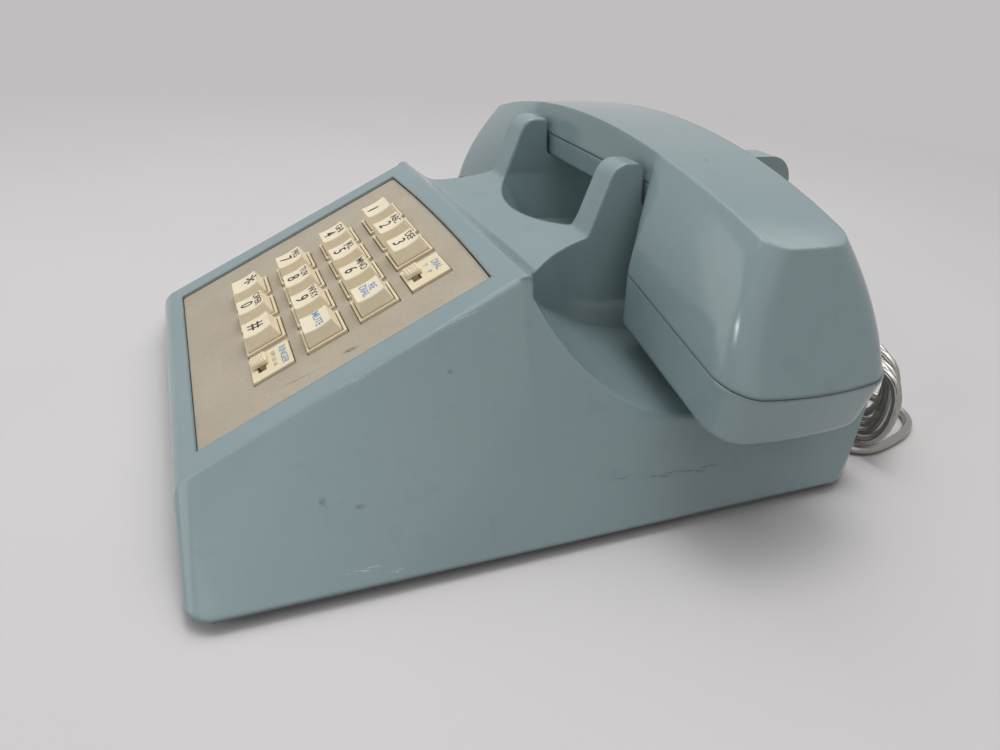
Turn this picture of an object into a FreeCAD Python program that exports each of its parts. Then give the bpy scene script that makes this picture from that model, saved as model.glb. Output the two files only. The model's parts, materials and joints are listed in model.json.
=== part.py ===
import FreeCAD, Part
import math
import os
import re
import Sketcher

# Full-size push-button desk telephone, handset on its cradle.
# Millimetres. +X is the telephone's right, +Y its back, +Z up; the origin is on the
# surface it stands on, under the middle of the housing.

Vector = FreeCAD.Vector
doc = FreeCAD.newDocument("DeskTelephone")
sheet = doc.addObject("Spreadsheet::Sheet", "sizes")

sizes = {
    # housing
    "baseWidth": 208.2,
    "baseLength": 229.0,
    "rearWidth": 205.0,
    "housingBottom": 4.0,
    "housingWall": 2.5,
    "frontCorner": 10.0,
    "rearCorner": 20.0,
    "sideOverlap": 0.3,
    "frontEdgeRound": 4.0,
    "rimEdgeRound": 2.5,
    # sloping face and its plate
    "plateY": -61.8,
    "plateZ": 49.1,
    "plateTilt": 28.0,
    "plateLength": 101.4,
    "plateWidth": 115.4,
    "plateThickness": 2.0,
    "plateBow": 1.5,
    "plateCorner": 1.5,
    "rimSide": 10.3,
    "rimRear": 7.3,
    "rimProud": 1.0,
    # deck, ears and saddle
    "deckFrontY": -3.0,
    "deckFrontZ": 72.0,
    "deckBlend": 6.0,
    "earFootY": 21.0,
    "earFootZ": 78.4,
    "earTopFrontY": 28.7,
    "earTopRearY": 38.7,
    "earTopZ": 102.0,
    "rearEarTopZ": 103.3,
    "rearEarFrontY": 80.5,
    "rearEarRearY": 98.7,
    "earFrontRound": 6.5,
    "earRearRound": 9.0,
    "earEdgeRound": 2.0,
    "saddleZ": 87.5,
    "saddleFrontY": 40.1,
    "saddleRearY": 78.9,
    "saddleRound": 2.5,
    "earInner": 31.4,
    "earOuter": 43.0,
    "earDraft": 3.6,
    # coves under the handset's ends, and the trough between the ears
    "coveFloorZ": 35.0,
    "coveFloorX": 88.0,
    "coveFloorSlope": 12.0,
    "coveFrontSlope": 60.0,
    "coveFrontRound": 58.5,
    "coveFrontY": 8.7,
    "coveCornerY": -3.0,
    "coveCornerRound": 32.6,
    "coveCornerTurn": 75.0,
    "coveTopZ": 42.0,
    "coveTopWidth": 198.0,
    "troughZ": 62.0,
    "troughLipZ": 80.0,
    "troughFrontY": 20.5,
    "troughBow": 9.5,
    "troughDraft": 4.4,
    "troughRun": 8.0,
    "creaseRound": 1.5,
    "creaseInnerX": 71.0,
    "creaseLowZ": 32.0,
    "earInnerRound": 1.0,
    "bottomDrop": 2.0,
    # base
    "footHeight": 4.4,
    "footDiameter": 16.0,
    "footX": 78.0,
    "footFrontY": -94.0,
    "footRearY": 86.0,
    "footRound": 1.2,
    "panThickness": 1.6,
    "panFrontWidth": 184.0,
    "panWidth": 198.0,
    "panWideY": -10.0,
    "panFrontY": -110.0,
    "panRearY": 110.0,
    "panCorner": 17.0,
    "bossDiameter": 8.0,
    "bossX": 60.0,
    "bossFrontY": -98.0,
    "bossRearY": 94.0,
    "screwDiameter": 3.0,
    "screwHead": 6.6,
    "screwHeadHeight": 2.0,
    "screwLength": 12.0,
    "shortScrewLength": 6.0,
    "screwRecess": 0.8,
    "clearance": 0.3,
    # keypad, measured from the middle of the plate along and up its slope
    "keyPitch": 19.05,
    "firstKeyX": -25.0,
    "firstKeyY": -22.4,
    "collarWidth": 15.4,
    "collarLength": 14.3,
    "collarWall": 0.9,
    "collarHeight": 0.9,
    "windowSize": 80.0,
    "frameFlange": 90.0,
    "frameThickness": 1.5,
    "framePost": 5.0,
    "framePostStep": 41.0,
    "keyHeight": 6.0,
    "keyRise": 1.6,
    "keyTaper": 14.0,
    "keyDish": 0.5,
    "keyDishRound": 24.0,
    "keyEdgeRound": 0.6,
    "keyFlange": 1.2,
    "keyFlangeLip": 1.2,
    "keyStem": 5.0,
    "keyStemLength": 3.0,
    "keyTravel": 2.2,
    "domeDiameter": 9.0,
    "domeHeight": 1.5,
    "matThickness": 1.0,
    "matSize": 78.0,
    "boardThickness": 1.6,
    "keyBoardWidth": 106.0,
    "keyBoardLength": 88.0,
    "keyBossInset": 4.0,
    "keyBossY": 30.0,
    "keyBossDiameter": 6.5,
    "knobWidth": 6.0,
    "knobLength": 5.2,
    "knobHeight": 1.8,
    "knobRibs": 5,
    "knobRibPitch": 1.1,
    "knobRibWidth": 0.5,
    "knobRibHeight": 0.4,
    "leastRadius": 0.4,
    "knobStemWidth": 3.0,
    "knobStemLength": 2.4,
    "knobTravel": 4.0,
    "knobX": -2.4,
    "knobY": -3.4,
    "switchWidth": 13.0,
    "switchLength": 8.0,
    "switchHeight": 6.0,
    "switchSlot": 2.0,
    # hook
    "plungerDiameter": 6.0,
    "plungerX": 37.2,
    "plungerGap": 0.35,
    "plungerBottomZ": 56.0,
    "leverThickness": 3.0,
    "leverArm": 4.0,
    "leverTipY": 50.0,
    "leverWebY": 76.0,
    "leverRiser": 3.0,
    "pivotY": 90.0,
    "pivotZ": 45.0,
    "pivotDiameter": 4.0,
    "barrelDiameter": 9.0,
    "cheekX": 22.0,
    "cheekThickness": 2.0,
    "cheekWidth": 16.0,
    "cheekRise": 5.0,
    "bracketThickness": 2.0,
    "bracketFrontY": 58.0,
    "hookSwitchWidth": 20.0,
    "hookSwitchDepth": 10.0,
    "hookSwitchHeight": 26.0,
    "hookSwitchY": 66.0,
    "leafWidth": 8.0,
    "leafThickness": 0.8,
    "leafTipY": 81.0,
    # boards, sounder and jacks
    "boardWidth": 100.0,
    "boardLength": 62.0,
    "boardX": -20.0,
    "boardY": 6.0,
    "standoffHeight": 7.0,
    "standoffDiameter": 7.0,
    "standoffInset": 5.0,
    "transformerSize": 18.0,
    "transformerHeight": 14.0,
    "transformerX": 24.0,
    "chipWidth": 30.0,
    "chipLength": 9.0,
    "chipHeight": 4.0,
    "sounderDiameter": 40.0,
    "sounderHeight": 9.0,
    "sounderRim": 3.0,
    "sounderX": -58.0,
    "sounderY": 66.0,
    "slotLength": 22.0,
    "slotWidth": 2.4,
    "slotPitch": 5.0,
    "slotCount": 5,
    "jackWidth": 18.0,
    "jackDepth": 16.0,
    "jackHeight": 15.0,
    "jackBoreHeight": 7.2,
    "jackBoreDepth": 12.5,
    "lineBoreWidth": 10.3,
    "coilBoreWidth": 8.3,
    "jackOpening": 1.2,
    "lineJackX": -36.0,
    "lineJackY": 108.5,
    "handsetJackX": -91.0,
    # handset
    "handsetY": 59.2,
    "handsetTopZ": 108.9,
    "handsetArch": 355.0,
    "handsetTopHalf": 18.1,
    "handsetTopEndHalf": 14.75,
    "handsetEndX": 104.1,
    "handsetSeamX": 121.5,
    "handsetSeamEndZ": 56.0,
    "gripSeamZ": 96.0,
    "gripSeamHalf": 18.7,
    "gripBottomHalf": 17.6,
    "gripGap": 0.3,
    "shoulderX": 44.5,
    "cupX": 57.0,
    "cupSeamZ": 69.6,
    "cupSeamHalf": 29.3,
    "cupEndHalf": 30.0,
    "cupDepth": 19.5,
    "cupBottomHalf": 28.0,
    "endBow": 165.0,
    "endLowLean": 12.0,
    "cupSwell": 3.0,
    "handsetWall": 2.5,
    "seamGap": 0.3,
    "endCornerRound": 12.0,
    "bottomEdgeRound": 4.0,
    "gripScrewX": 22.0,
    "gripBoss": 9.0,
    "gripRecess": 2.6,
    "capsuleDiameter": 38.0,
    "capsuleHeight": 12.0,
    "capsuleRim": 2.0,
    "capsuleX": 80.0,
    "soundHole": 2.4,
    "soundRing": 6.0,
    "soundRings": 2,
    "weightWidth": 30.0,
    "weightLength": 24.0,
    "weightHeight": 5.0,
    "coilJackX": -115.4,
    "coilJackWidth": 14.0,
    "coilJackDepth": 11.5,
    "coilJackHeight": 11.0,
    "coilBoreDepth": 10.0,
    # line cord, wound in a hank that stands behind the housing's rear right corner
    "cordDiameter": 3.4,
    "cordStep": 4.1,
    "hankLoops": 6,
    "hankX": 42.0,
    "hankY": 127.0,
    "hankZ": 17.4,
    "hankReach": 40.0,
    "hankHalf": 15.0,
    "hankShift": 3.4,
    "plugWidth": 9.7,
    "plugHeight": 6.6,
    "plugLength": 12.2,
    "plugNose": 3.0,
    "plugNoseHeight": 4.6,
}

for row, (name, number) in enumerate(sizes.items(), start=1):
    sheet.set("A%d" % row, name)
    sheet.set("B%d" % row, str(number))
    sheet.setAlias("B%d" % row, name)
doc.recompute()


def size(name):
    return float(sheet.get(name))


def inYZ(x):
    return lambda a, b: Vector(x, a, b)


def inXZ(y):
    return lambda a, b: Vector(a, y, b)


def inXY(z):
    return lambda a, b: Vector(a, b, z)


def moved(corners, steps):
    """Corners of a closed outline, each side moved to its left by its own step."""
    count = len(corners)
    lines = []
    for i in range(count):
        start = Vector(corners[i][0], corners[i][1], 0)
        end = Vector(corners[(i + 1) % count][0], corners[(i + 1) % count][1], 0)
        along = (end - start).normalize()
        left = Vector(-along.y, along.x, 0)
        lines.append((start + left * steps[i], along, left))
    result = []
    for i in range(count):
        before, alongBefore = lines[i - 1][:2]
        after, alongAfter, leftAfter = lines[i]
        turn = alongBefore.cross(alongAfter).z
        reach = (after - before).dot(leftAfter) / alongBefore.dot(leftAfter)
        corner = before + alongBefore * reach
        radius = corners[i][2]
        if radius:
            step = min(steps[i - 1], steps[i])
            radius = max(radius - step if turn > 0 else radius + step, size("leastRadius"))
        result.append((corner.x, corner.y, radius))
    return result


def outline(corners, place):
    """Closed wire through corners (a, b, radius), with each corner rounded by its radius."""
    count = len(corners)
    flat = [Vector(a, b, 0) for a, b, radius in corners]
    turns = []
    for i in range(count):
        corner = flat[i]
        radius = corners[i][2]
        back = (flat[i - 1] - corner).normalize()
        ahead = (flat[(i + 1) % count] - corner).normalize()
        half = back.getAngle(ahead) / 2
        reach = radius / math.tan(half)
        middle = (back + ahead).normalize() * (radius / math.sin(half) - radius)
        turns.append((corner + back * reach, corner + middle, corner + ahead * reach))
    edges = []
    for i in range(count):
        start, middle, end = [place(p.x, p.y) for p in turns[i]]
        following = place(turns[(i + 1) % count][0].x, turns[(i + 1) % count][0].y)
        if corners[i][2]:
            edges.append(Part.Arc(start, middle, end).toShape())
        edges.append(Part.LineSegment(end, following).toShape())
    return Part.Wire(edges)


def prism(corners, place, travel):
    return Part.Face(outline(corners, place)).extrude(travel)


def onFace(along, above):
    """(y, z) of a point on the sloping face: along the slope, and above the plate's top."""
    tilt = math.radians(size("plateTilt"))
    y = size("plateY") + along * math.cos(tilt) - above * math.sin(tilt)
    z = size("plateZ") + along * math.sin(tilt) + above * math.cos(tilt)
    return y, z


def sideProfile(inset, faceInset, drop):
    """The housing seen from its right side, moved inwards by inset."""
    tilt = math.radians(size("plateTilt"))
    front = -size("baseLength") / 2
    bottom = size("housingBottom")
    rimY, rimZ = onFace(size("plateLength") / 2 + size("rimRear"), size("rimProud"))
    faceFrontZ = rimZ + (front - rimY) * math.tan(tilt)
    corners = [
        (front, bottom, 0),
        (size("baseLength") / 2, bottom, 0),
        (size("rearEarRearY"), size("rearEarTopZ"), size("earRearRound")),
        (size("rearEarFrontY"), size("rearEarTopZ"), size("earEdgeRound")),
        (size("saddleRearY"), size("saddleZ"), size("saddleRound")),
        (size("saddleFrontY"), size("saddleZ"), size("saddleRound")),
        (size("earTopRearY"), size("earTopZ"), size("earEdgeRound")),
        (size("earTopFrontY"), size("earTopZ"), size("earFrontRound")),
        (size("earFootY"), size("earFootZ"), size("saddleRound")),
        (size("deckFrontY"), size("deckFrontZ"), size("deckBlend")),
        (rimY, rimZ, size("rimEdgeRound")),
        (front, faceFrontZ, size("frontEdgeRound")),
    ]
    steps = [inset] * len(corners)
    steps[0] = -drop - size("sideOverlap")
    steps[10] = faceInset
    return moved(corners, steps)


def rimLine(y):
    """Height of the rim's plane over the point y."""
    tilt = math.radians(size("plateTilt"))
    rimY, rimZ = onFace(0, size("rimProud"))
    return rimZ + (y - rimY) * math.tan(tilt)


def rimEnd():
    """Where the rim's plane ends and rounds over to the deck."""
    along = size("plateLength") / 2 + size("rimRear") - size("rimEdgeRound")
    return onFace(along, size("rimProud"))[0]


def lowHalfWidth(y):
    """Half the width of the housing's lower edge, which narrows a little to the rear."""
    taper = (size("rearWidth") - size("baseWidth")) / size("baseLength")
    return (size("baseWidth") + taper * (y + size("baseLength") / 2)) / 2


def frontSection(y, inset, faceInset, drop):
    """The front of the housing cut across: flared sides under the sloping rim."""
    low = lowHalfWidth(y)
    rim = size("plateWidth") / 2 + size("rimSide")
    bottom = size("housingBottom")
    rimRound = size("rimEdgeRound")
    corners = [
        (-low, bottom, 0),
        (low, bottom, 0),
        (rim, rimLine(y), rimRound),
        (-rim, rimLine(y), rimRound),
    ]
    faceDrop = faceInset / math.cos(math.radians(size("plateTilt")))
    return outline(moved(corners, [-drop, inset, faceDrop, inset]), inXZ(y))


def frontForm(inset, faceInset, drop):
    """The front of the housing, with its front wall rounded over into its sides and rim."""
    front = -size("baseLength") / 2 + inset
    rear = rimEnd()
    noseRound = size("frontEdgeRound")
    nose = []
    for turn in (0, 30, 60, 90):
        angle = math.radians(turn)
        y = front + noseRound * (1 - math.cos(angle))
        shrink = noseRound * (1 - math.sin(angle))
        nose.append(frontSection(y, inset + shrink, faceInset + shrink, drop))
    back = frontSection(rear, inset, faceInset, drop)
    return Part.makeLoft(nose, True, False), Part.makeLoft([nose[-1], back], True, True)


def rearSection(y, lowHalf, topHalf, topZ, inset, drop):
    """The rear of the housing cut across: flared sides up to topZ, upright above it."""
    bottom = size("housingBottom")
    high = 2 * size("rearEarTopZ")
    corners = [
        (-lowHalf, bottom, 0),
        (lowHalf, bottom, 0),
        (topHalf, topZ, 0),
        (topHalf, high, 0),
        (-topHalf, high, 0),
        (-topHalf, topZ, 0),
    ]
    return outline(moved(corners, [-drop] + [inset] * 5), inXZ(y))


def rearForm(inset, drop):
    start = rimEnd()
    end = size("baseLength") / 2 + size("housingWall")
    rim = size("plateWidth") / 2 + size("rimSide")
    sections = [
        rearSection(start, lowHalfWidth(start), rim, rimLine(start), inset, drop),
        rearSection(end, lowHalfWidth(end), size("coveTopWidth") / 2, size("coveTopZ"), inset, drop),
    ]
    return Part.makeLoft(sections, True, True)


def footprint(inset, drop):
    front = -size("baseLength") / 2
    rear = size("baseLength") / 2
    half = size("baseWidth") / 2 + size("sideOverlap")
    rearHalf = size("rearWidth") / 2 + size("sideOverlap")
    corners = [
        (-half, front - size("sideOverlap"), size("frontCorner")),
        (half, front - size("sideOverlap"), size("frontCorner")),
        (rearHalf, rear, size("rearCorner")),
        (-rearHalf, rear, size("rearCorner")),
    ]
    low = size("housingBottom") - drop - size("sideOverlap")
    return prism(moved(corners, [inset] * 4), inXY(low), Vector(0, 0, 2 * size("rearEarTopZ")))


def cove(inset):
    """What is scooped from the right side, so that the handset's end can hang there."""
    far = size("baseLength")
    high = 2 * size("rearEarTopZ")
    slope = math.tan(math.radians(size("coveFloorSlope")))
    rise = math.tan(math.radians(size("coveFrontSlope")))
    floor = size("coveFloorZ")
    startX = size("earInner")
    lift = (size("coveFloorX") - startX) * slope
    floorCorners = [
        (far, floor + lift, 0),
        (far, high, 0),
        (size("coveFrontY") - (high - floor - lift) / rise, high, 0),
        (size("coveFrontY"), floor + lift, size("coveFrontRound")),
    ]
    run = size("baseWidth") - startX
    scoop = prism(moved(floorCorners, [-inset] * 4), inYZ(startX), Vector(run, 0, -run * slope))
    turn = math.radians(size("coveCornerTurn"))
    walls = []
    for z, lean in ((size("housingBottom"), 1.0), (size("earTopZ"), 0.0)):
        x = size("earOuter") + lean * size("earDraft")
        wallCorners = [
            (x, far, 0),
            (x, size("coveCornerY"), size("coveCornerRound")),
            (far, size("coveCornerY") - (far - x) / math.tan(turn), 0),
            (far, far, 0),
        ]
        walls.append(outline(moved(wallCorners, [-inset] * 4), inXY(z)))
    upper = Part.Face(walls[1]).extrude(Vector(0, 0, high - size("earTopZ")))
    wall = Part.makeLoft(walls, True, True).fuse(upper)
    return scoop.common(wall)


def trough(inset):
    """The hollow between the ears: upright walls over a floor whose front is drawn in."""
    far = size("baseLength")
    high = 2 * size("rearEarTopZ")
    levels = []
    for z, lean in ((size("troughZ") - inset, 1.0), (size("troughLipZ"), 0.0)):
        half = size("earInner") - lean * size("troughDraft")
        front = size("troughFrontY") + lean * size("troughRun")
        corners = [
            (-half, front, 0),
            (0, front - 2 * size("troughBow"), half * half / size("troughBow") / 2),
            (half, front, 0),
            (half, far, 0),
            (-half, far, 0),
        ]
        levels.append(moved(corners, [-inset] * 5))
    low = outline(levels[0], inXY(size("troughZ") - inset))
    lip = outline(levels[1], inXY(size("troughLipZ")))
    upper = Part.Face(lip).extrude(Vector(0, 0, high - size("troughLipZ")))
    return Part.makeLoft([low, lip], True, True).fuse(upper)


def housingForm(inset, faceInset, drop):
    profile = sideProfile(inset, faceInset, drop)
    across = size("baseLength")
    body = prism(profile, inYZ(-across), Vector(2 * across, 0, 0))
    rear = rearForm(inset, drop).common(body)
    right = cove(inset)
    left = right.mirror(Vector(0, 0, 0), Vector(1, 0, 0))
    rear = rear.cut(right).cut(left).cut(trough(inset))
    nose, front = frontForm(inset, faceInset, drop)
    front = front.cut(right).cut(left)
    return rear, nose, front


def archZ(x):
    radius = size("handsetArch")
    return size("handsetTopZ") - radius + math.sqrt(radius * radius - x * x)


def seamSlope():
    return (size("handsetSeamEndZ") - size("cupSeamZ")) / (size("handsetSeamX") - size("cupX"))


def topRail(x):
    """Half width and height of the handset's top edge at x."""
    narrowing = size("handsetTopHalf") - size("handsetTopEndHalf")
    return size("handsetTopHalf") - narrowing * (x / size("handsetEndX")) ** 2, archZ(x)


def seamRail(x):
    """Half width and height of the seam between the handset's two shells at x."""
    if abs(x) < size("cupX"):
        return size("gripSeamHalf"), size("gripSeamZ")
    beyond = abs(x) - size("cupX")
    widening = (size("cupEndHalf") - size("cupSeamHalf")) / (size("handsetSeamX") - size("cupX"))
    return size("cupSeamHalf") + widening * beyond, size("cupSeamZ") + seamSlope() * beyond


def bottomRail(x):
    """Half width and height of the handset's lower edge at x."""
    if abs(x) < size("cupX"):
        return size("gripBottomHalf"), size("saddleZ") + size("gripGap")
    half, z = seamRail(x)
    return half - size("cupSeamHalf") + size("cupBottomHalf"), z - size("cupDepth")


def railPoles(rail, side, inset, lift):
    """Three poles for each stretch of a rail, on one side; inset draws it in and lift raises it."""
    far = size("handsetSeamX") + size("endCornerRound")
    stations = [-far, -size("cupX"), -size("shoulderX"), size("shoulderX"), size("cupX"), far]

    def point(x):
        half, z = rail(x)
        shift = math.copysign(inset, x)
        return Vector(x + shift, size("handsetY") + side * (half - inset), z + lift)

    stretches = []
    for start, end in zip(stations, stations[1:]):
        first, last = point(start), point(end)
        pole = (first + last) / 2
        if rail is topRail:
            middle = point((start + end) / 2)
            middle.x = pole.x
            pole = middle * 2 - pole
        stretches.append([first, pole, last])
    return stretches


def swelling(x, swell):
    """How far the handset's side stands out at x: nothing along the grip, all of it at the cups."""
    share = (abs(x) - size("shoulderX")) / (size("cupX") - size("shoulderX"))
    return swell * min(max(share, 0), 1)


def sideFace(first, second, side, swell):
    """A face between a stretch of two rails, bowed out where it swells."""
    surface = Part.BezierSurface()
    surface.increase(2, 2)
    for i, (a, b) in enumerate(zip(first, second), start=1):
        between = (a + b) / 2 + Vector(0, 2 * side * swelling((a.x + b.x) / 2, swell), 0)
        for j, pole in enumerate((a, between, b), start=1):
            surface.setPole(i, j, pole)
    return surface.toShape()


def railSolid(upper, lower, inset, upperLift, lowerLift, swell=0):
    """A bar along X between an upper and a lower rail, alike on both sides."""
    rails = [
        railPoles(upper, -1, inset, upperLift),
        railPoles(upper, 1, inset, upperLift),
        railPoles(lower, 1, inset, lowerLift),
        railPoles(lower, -1, inset, lowerLift),
    ]
    faces = []
    for i, side in enumerate((-1, 0, 1, 0)):
        for first, second in zip(rails[i - 1], rails[i]):
            faces.append(sideFace(first, second, side, swell))
    for end in (0, -1):
        ring = []
        for i, side in enumerate((-1, 0, 1, 0)):
            corners = rails[i - 1][end][end], rails[i][end][end]
            curve = Part.BezierCurve()
            between = (corners[0] + corners[1]) / 2 + Vector(0, 2 * side * swell, 0)
            curve.setPoles([corners[0], between, corners[1]])
            ring.append(curve.toShape())
        faces.append(Part.Face(Part.Wire(ring)))
    shell = Part.makeShell(faces)
    shell.sewShape()
    solid = Part.Solid(shell)
    if solid.Volume < 0:
        solid.reverse()
    return solid


def endCutter(lean, inset):
    """What lies past the handset's bowed right end; lean is the end's angle from upright."""
    outward = Vector(math.cos(lean), 0, math.sin(lean))
    upward = Vector(-math.sin(lean), 0, math.cos(lean))
    seam = Vector(size("handsetSeamX"), size("handsetY"), size("handsetSeamEndZ"))
    radius = size("endBow")
    reach = size("handsetTopZ")
    foot = seam - outward * radius - upward * reach
    drum = Part.makeCylinder(radius - inset, 2 * reach, foot, upward)
    box = Part.makeBox(reach, 2 * reach, 2 * reach)
    box.translate(Vector(size("capsuleX"), size("handsetY") - reach, -reach / 2))
    return box.cut(drum)


def cutEnds(shape, lean, inset):
    right = endCutter(lean, inset)
    return shape.cut(right).cut(right.mirror(Vector(0, 0, 0), Vector(1, 0, 0)))


def midpoint(edge):
    return edge.valueAt((edge.FirstParameter + edge.LastParameter) / 2)


def rounded(shape, radius, chosen):
    """The shape with every edge rounded whose middle point is chosen."""
    return shape.makeFillet(radius, [e for e in shape.Edges if chosen(midpoint(e), e)])


nodes = []


def linked(formula):
    """A formula of size names, with each name written as its cell in the sheet."""
    def cell(found):
        return "sizes." + found.group() if found.group() in sizes else found.group()
    return re.sub(r"[A-Za-z]\w*", cell, formula)


def valueOf(formula):
    return float(sheet.evalExpression(formula))


def newFeature(label, shape):
    feature = doc.addObject("Part::Feature", label)
    feature.Shape = shape
    nodes.append(feature)
    return feature


def newBody(label):
    body = doc.addObject("PartDesign::Body", label)
    nodes.append(body)
    return body


def placed(piece, x, y, z):
    for axis, formula in zip("xyz", (x, y, z)):
        piece.setExpression("Placement.Base." + axis, linked(formula))


def turned(piece, axis, angle):
    piece.Placement = FreeCAD.Placement(Vector(), FreeCAD.Rotation(axis, 1))
    piece.setExpression("Placement.Rotation.Angle", linked(angle))


def placedOnFace(piece, x, along):
    """The piece's own XY plane lies on the faceplate's top, x across and along up the slope."""
    turned(piece, Vector(1, 0, 0), "plateTilt * 1 deg")
    y = "plateY + (%s) * cos(plateTilt * 1 deg)" % along
    z = "plateZ + (%s) * sin(plateTilt * 1 deg)" % along
    placed(piece, x, y, z)


def sketchOn(body, role, height="0"):
    sketch = body.newObject("Sketcher::SketchObject", body.Label + "_sketch")
    plane = next(f for f in body.Origin.OriginFeatures if f.Role == role)
    sketch.AttachmentSupport = [(plane, "")]
    sketch.MapMode = "FlatFace"
    sketch.setExpression("AttachmentOffset.Base.z", linked(height))
    return sketch


def fixPoint(sketch, geometry, point, x, y):
    """Holds a sketch point at formulas of the sheet's sizes."""
    for kind, axis, formula in (("DistanceX", -2, x), ("DistanceY", -1, y)):
        if formula == "0":
            sketch.addConstraint(Sketcher.Constraint("PointOnObject", geometry, point, axis))
            continue
        rule = Sketcher.Constraint(kind, -1, 1, geometry, point, valueOf(formula))
        index = sketch.addConstraint(rule)
        sketch.setExpression("Constraints[%d]" % index, linked(formula))


def polygon(sketch, corners):
    first = sketch.GeometryCount
    points = [Vector(valueOf(a), valueOf(b), 0) for a, b in corners]
    count = len(points)
    for i in range(count):
        sketch.addGeometry(Part.LineSegment(points[i], points[(i + 1) % count]))
    for i in range(count):
        following = first + (i + 1) % count
        sketch.addConstraint(Sketcher.Constraint("Coincident", first + i, 2, following, 1))
    for i, (a, b) in enumerate(corners):
        fixPoint(sketch, first + i, 1, a, b)


def rectangle(sketch, width, length, x="0", y="0"):
    left = "(%s) - (%s)/2" % (x, width)
    right = "(%s) + (%s)/2" % (x, width)
    low = "(%s) - (%s)/2" % (y, length)
    high = "(%s) + (%s)/2" % (y, length)
    polygon(sketch, [(left, low), (right, low), (right, high), (left, high)])


def circle(sketch, diameter, x="0", y="0"):
    centre = Vector(valueOf(x), valueOf(y), 0)
    ring = Part.Circle(centre, Vector(0, 0, 1), valueOf(diameter) / 2)
    geometry = sketch.addGeometry(ring)
    index = sketch.addConstraint(Sketcher.Constraint("Diameter", geometry, valueOf(diameter)))
    sketch.setExpression("Constraints[%d]" % index, linked(diameter))
    fixPoint(sketch, geometry, 3, x, y)


def pad(body, sketch, length, downward=False, taper=None):
    feature = body.newObject("PartDesign::Pad", body.Label + "_pad")
    feature.Profile = sketch
    feature.setExpression("Length", linked(length))
    feature.Reversed = downward
    if taper:
        feature.setExpression("TaperAngle", linked(taper))
    return feature


def pocket(body, sketch, length, upward=False, bothWays=False):
    feature = body.newObject("PartDesign::Pocket", body.Label + "_pocket")
    feature.Profile = sketch
    feature.setExpression("Length", linked(length))
    feature.Reversed = upward
    feature.Midplane = bothWays
    return feature


def filleted(body, radius, chosen):
    """Rounds the body's edges whose middle point is chosen."""
    doc.recompute()
    last = body.Tip
    names = []
    for i, edge in enumerate(last.Shape.Edges, start=1):
        if chosen(midpoint(edge), edge):
            names.append("Edge%d" % i)
    feature = body.newObject("PartDesign::Fillet", body.Label + "_round")
    feature.Base = (last, names)
    feature.setExpression("Radius", linked(radius))
    return feature


def onPlate(shape):
    """The shape, drawn about the middle of the plate's top, laid on the sloping face."""
    lay = FreeCAD.Placement()
    lay.Base = Vector(0, size("plateY"), size("plateZ"))
    lay.Rotation = FreeCAD.Rotation(Vector(1, 0, 0), size("plateTilt"))
    return shape.transformed(lay.toMatrix())


def block(width, length, low, high, x=0, y=0):
    corner = Vector(x - width / 2, y - length / 2, low)
    return Part.makeBox(width, length, high - low, corner)


def rod(diameter, low, high, x, y):
    return Part.makeCylinder(diameter / 2, high - low, Vector(x, y, low))


# heights above the plate's top, and the middle of the field of keys
boardTop = (
    "(-plateThickness - housingWall - frameThickness - 2 * clearance - keyFlange"
    " - keyStemLength - keyTravel - domeHeight - matThickness)"
)
fieldX = "(firstKeyX + 1.5 * keyPitch)"
fieldY = "(firstKeyY + 1.5 * keyPitch)"
wallBottom = "(-plateThickness - housingWall)"
frameBottom = "(-plateThickness - housingWall - frameThickness)"
keyWidth = "(collarWidth - 2 * collarWall - 2 * clearance)"
keyLength = "(collarLength - 2 * collarWall - 2 * clearance)"
panTop = "(footHeight + panThickness)"
jackMiddle = "(footHeight + panThickness + jackHeight / 2)"


def cellMiddle(column, row):
    """Middle of a keypad cell; row 0 is the one nearest the front."""
    return "(firstKeyX + %d * keyPitch)" % column, "(firstKeyY + %d * keyPitch)" % row


switchCells = [(3, 3), (3, 0)]
keyCells = {
    "key_1": (0, 3), "key_2": (1, 3), "key_3": (2, 3),
    "key_4": (0, 2), "key_5": (1, 2), "key_6": (2, 2), "key_redial": (3, 2),
    "key_7": (0, 1), "key_8": (1, 1), "key_9": (2, 1), "key_mute": (3, 1),
    "key_star": (0, 0), "key_0": (1, 0), "key_hash": (2, 0),
}


def plateOutline(gap):
    """The faceplate's outline with its bowed rear edge, drawn gap larger."""
    half = size("plateWidth") / 2 + gap
    front = -size("plateLength") / 2 - gap
    rear = size("plateLength") / 2 + gap
    shoulder = rear - size("plateBow")
    corners = [
        Vector(half, shoulder, 0),
        Vector(-half, shoulder, 0),
        Vector(-half, front, 0),
        Vector(half, front, 0),
    ]
    bow = Part.Arc(corners[0], Vector(0, rear, 0), corners[1]).toShape()
    return Part.Wire([bow] + Part.makePolygon(corners[1:] + corners[:1]).Edges)


def pairs(x, frontY, rearY):
    return [(side * x, y) for y in (frontY, rearY) for side in (-1, 1)]


def keyBossSpots():
    x, y = valueOf(fieldX), valueOf(fieldY)
    stepX = size("keyBoardWidth") / 2 - size("keyBossInset")
    stepY = size("keyBossY")
    return [(x + a * stepX, y + b * stepY) for a in (-1, 1) for b in (-1, 1)]


def baseBossSpots():
    return pairs(size("bossX"), size("bossFrontY"), size("bossRearY"))


def housingShell():
    wall = size("housingWall")
    rear, nose, front = housingForm(0, 0, 0)
    rear = rounded(rear, size("creaseRound"), onCrease)
    rear = rounded(rear, size("earInnerRound"), onInnerEar)
    outer = rear.fuse([nose, front]).common(footprint(0, 0)).removeSplitter()
    faceInset = size("rimProud") + size("plateThickness") + wall
    drop = size("bottomDrop")
    rearIn, noseIn, frontIn = housingForm(wall, faceInset, drop)
    inner = rearIn.fuse([noseIn, frontIn]).common(footprint(wall, drop))
    return outer, outer.cut(inner)


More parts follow.
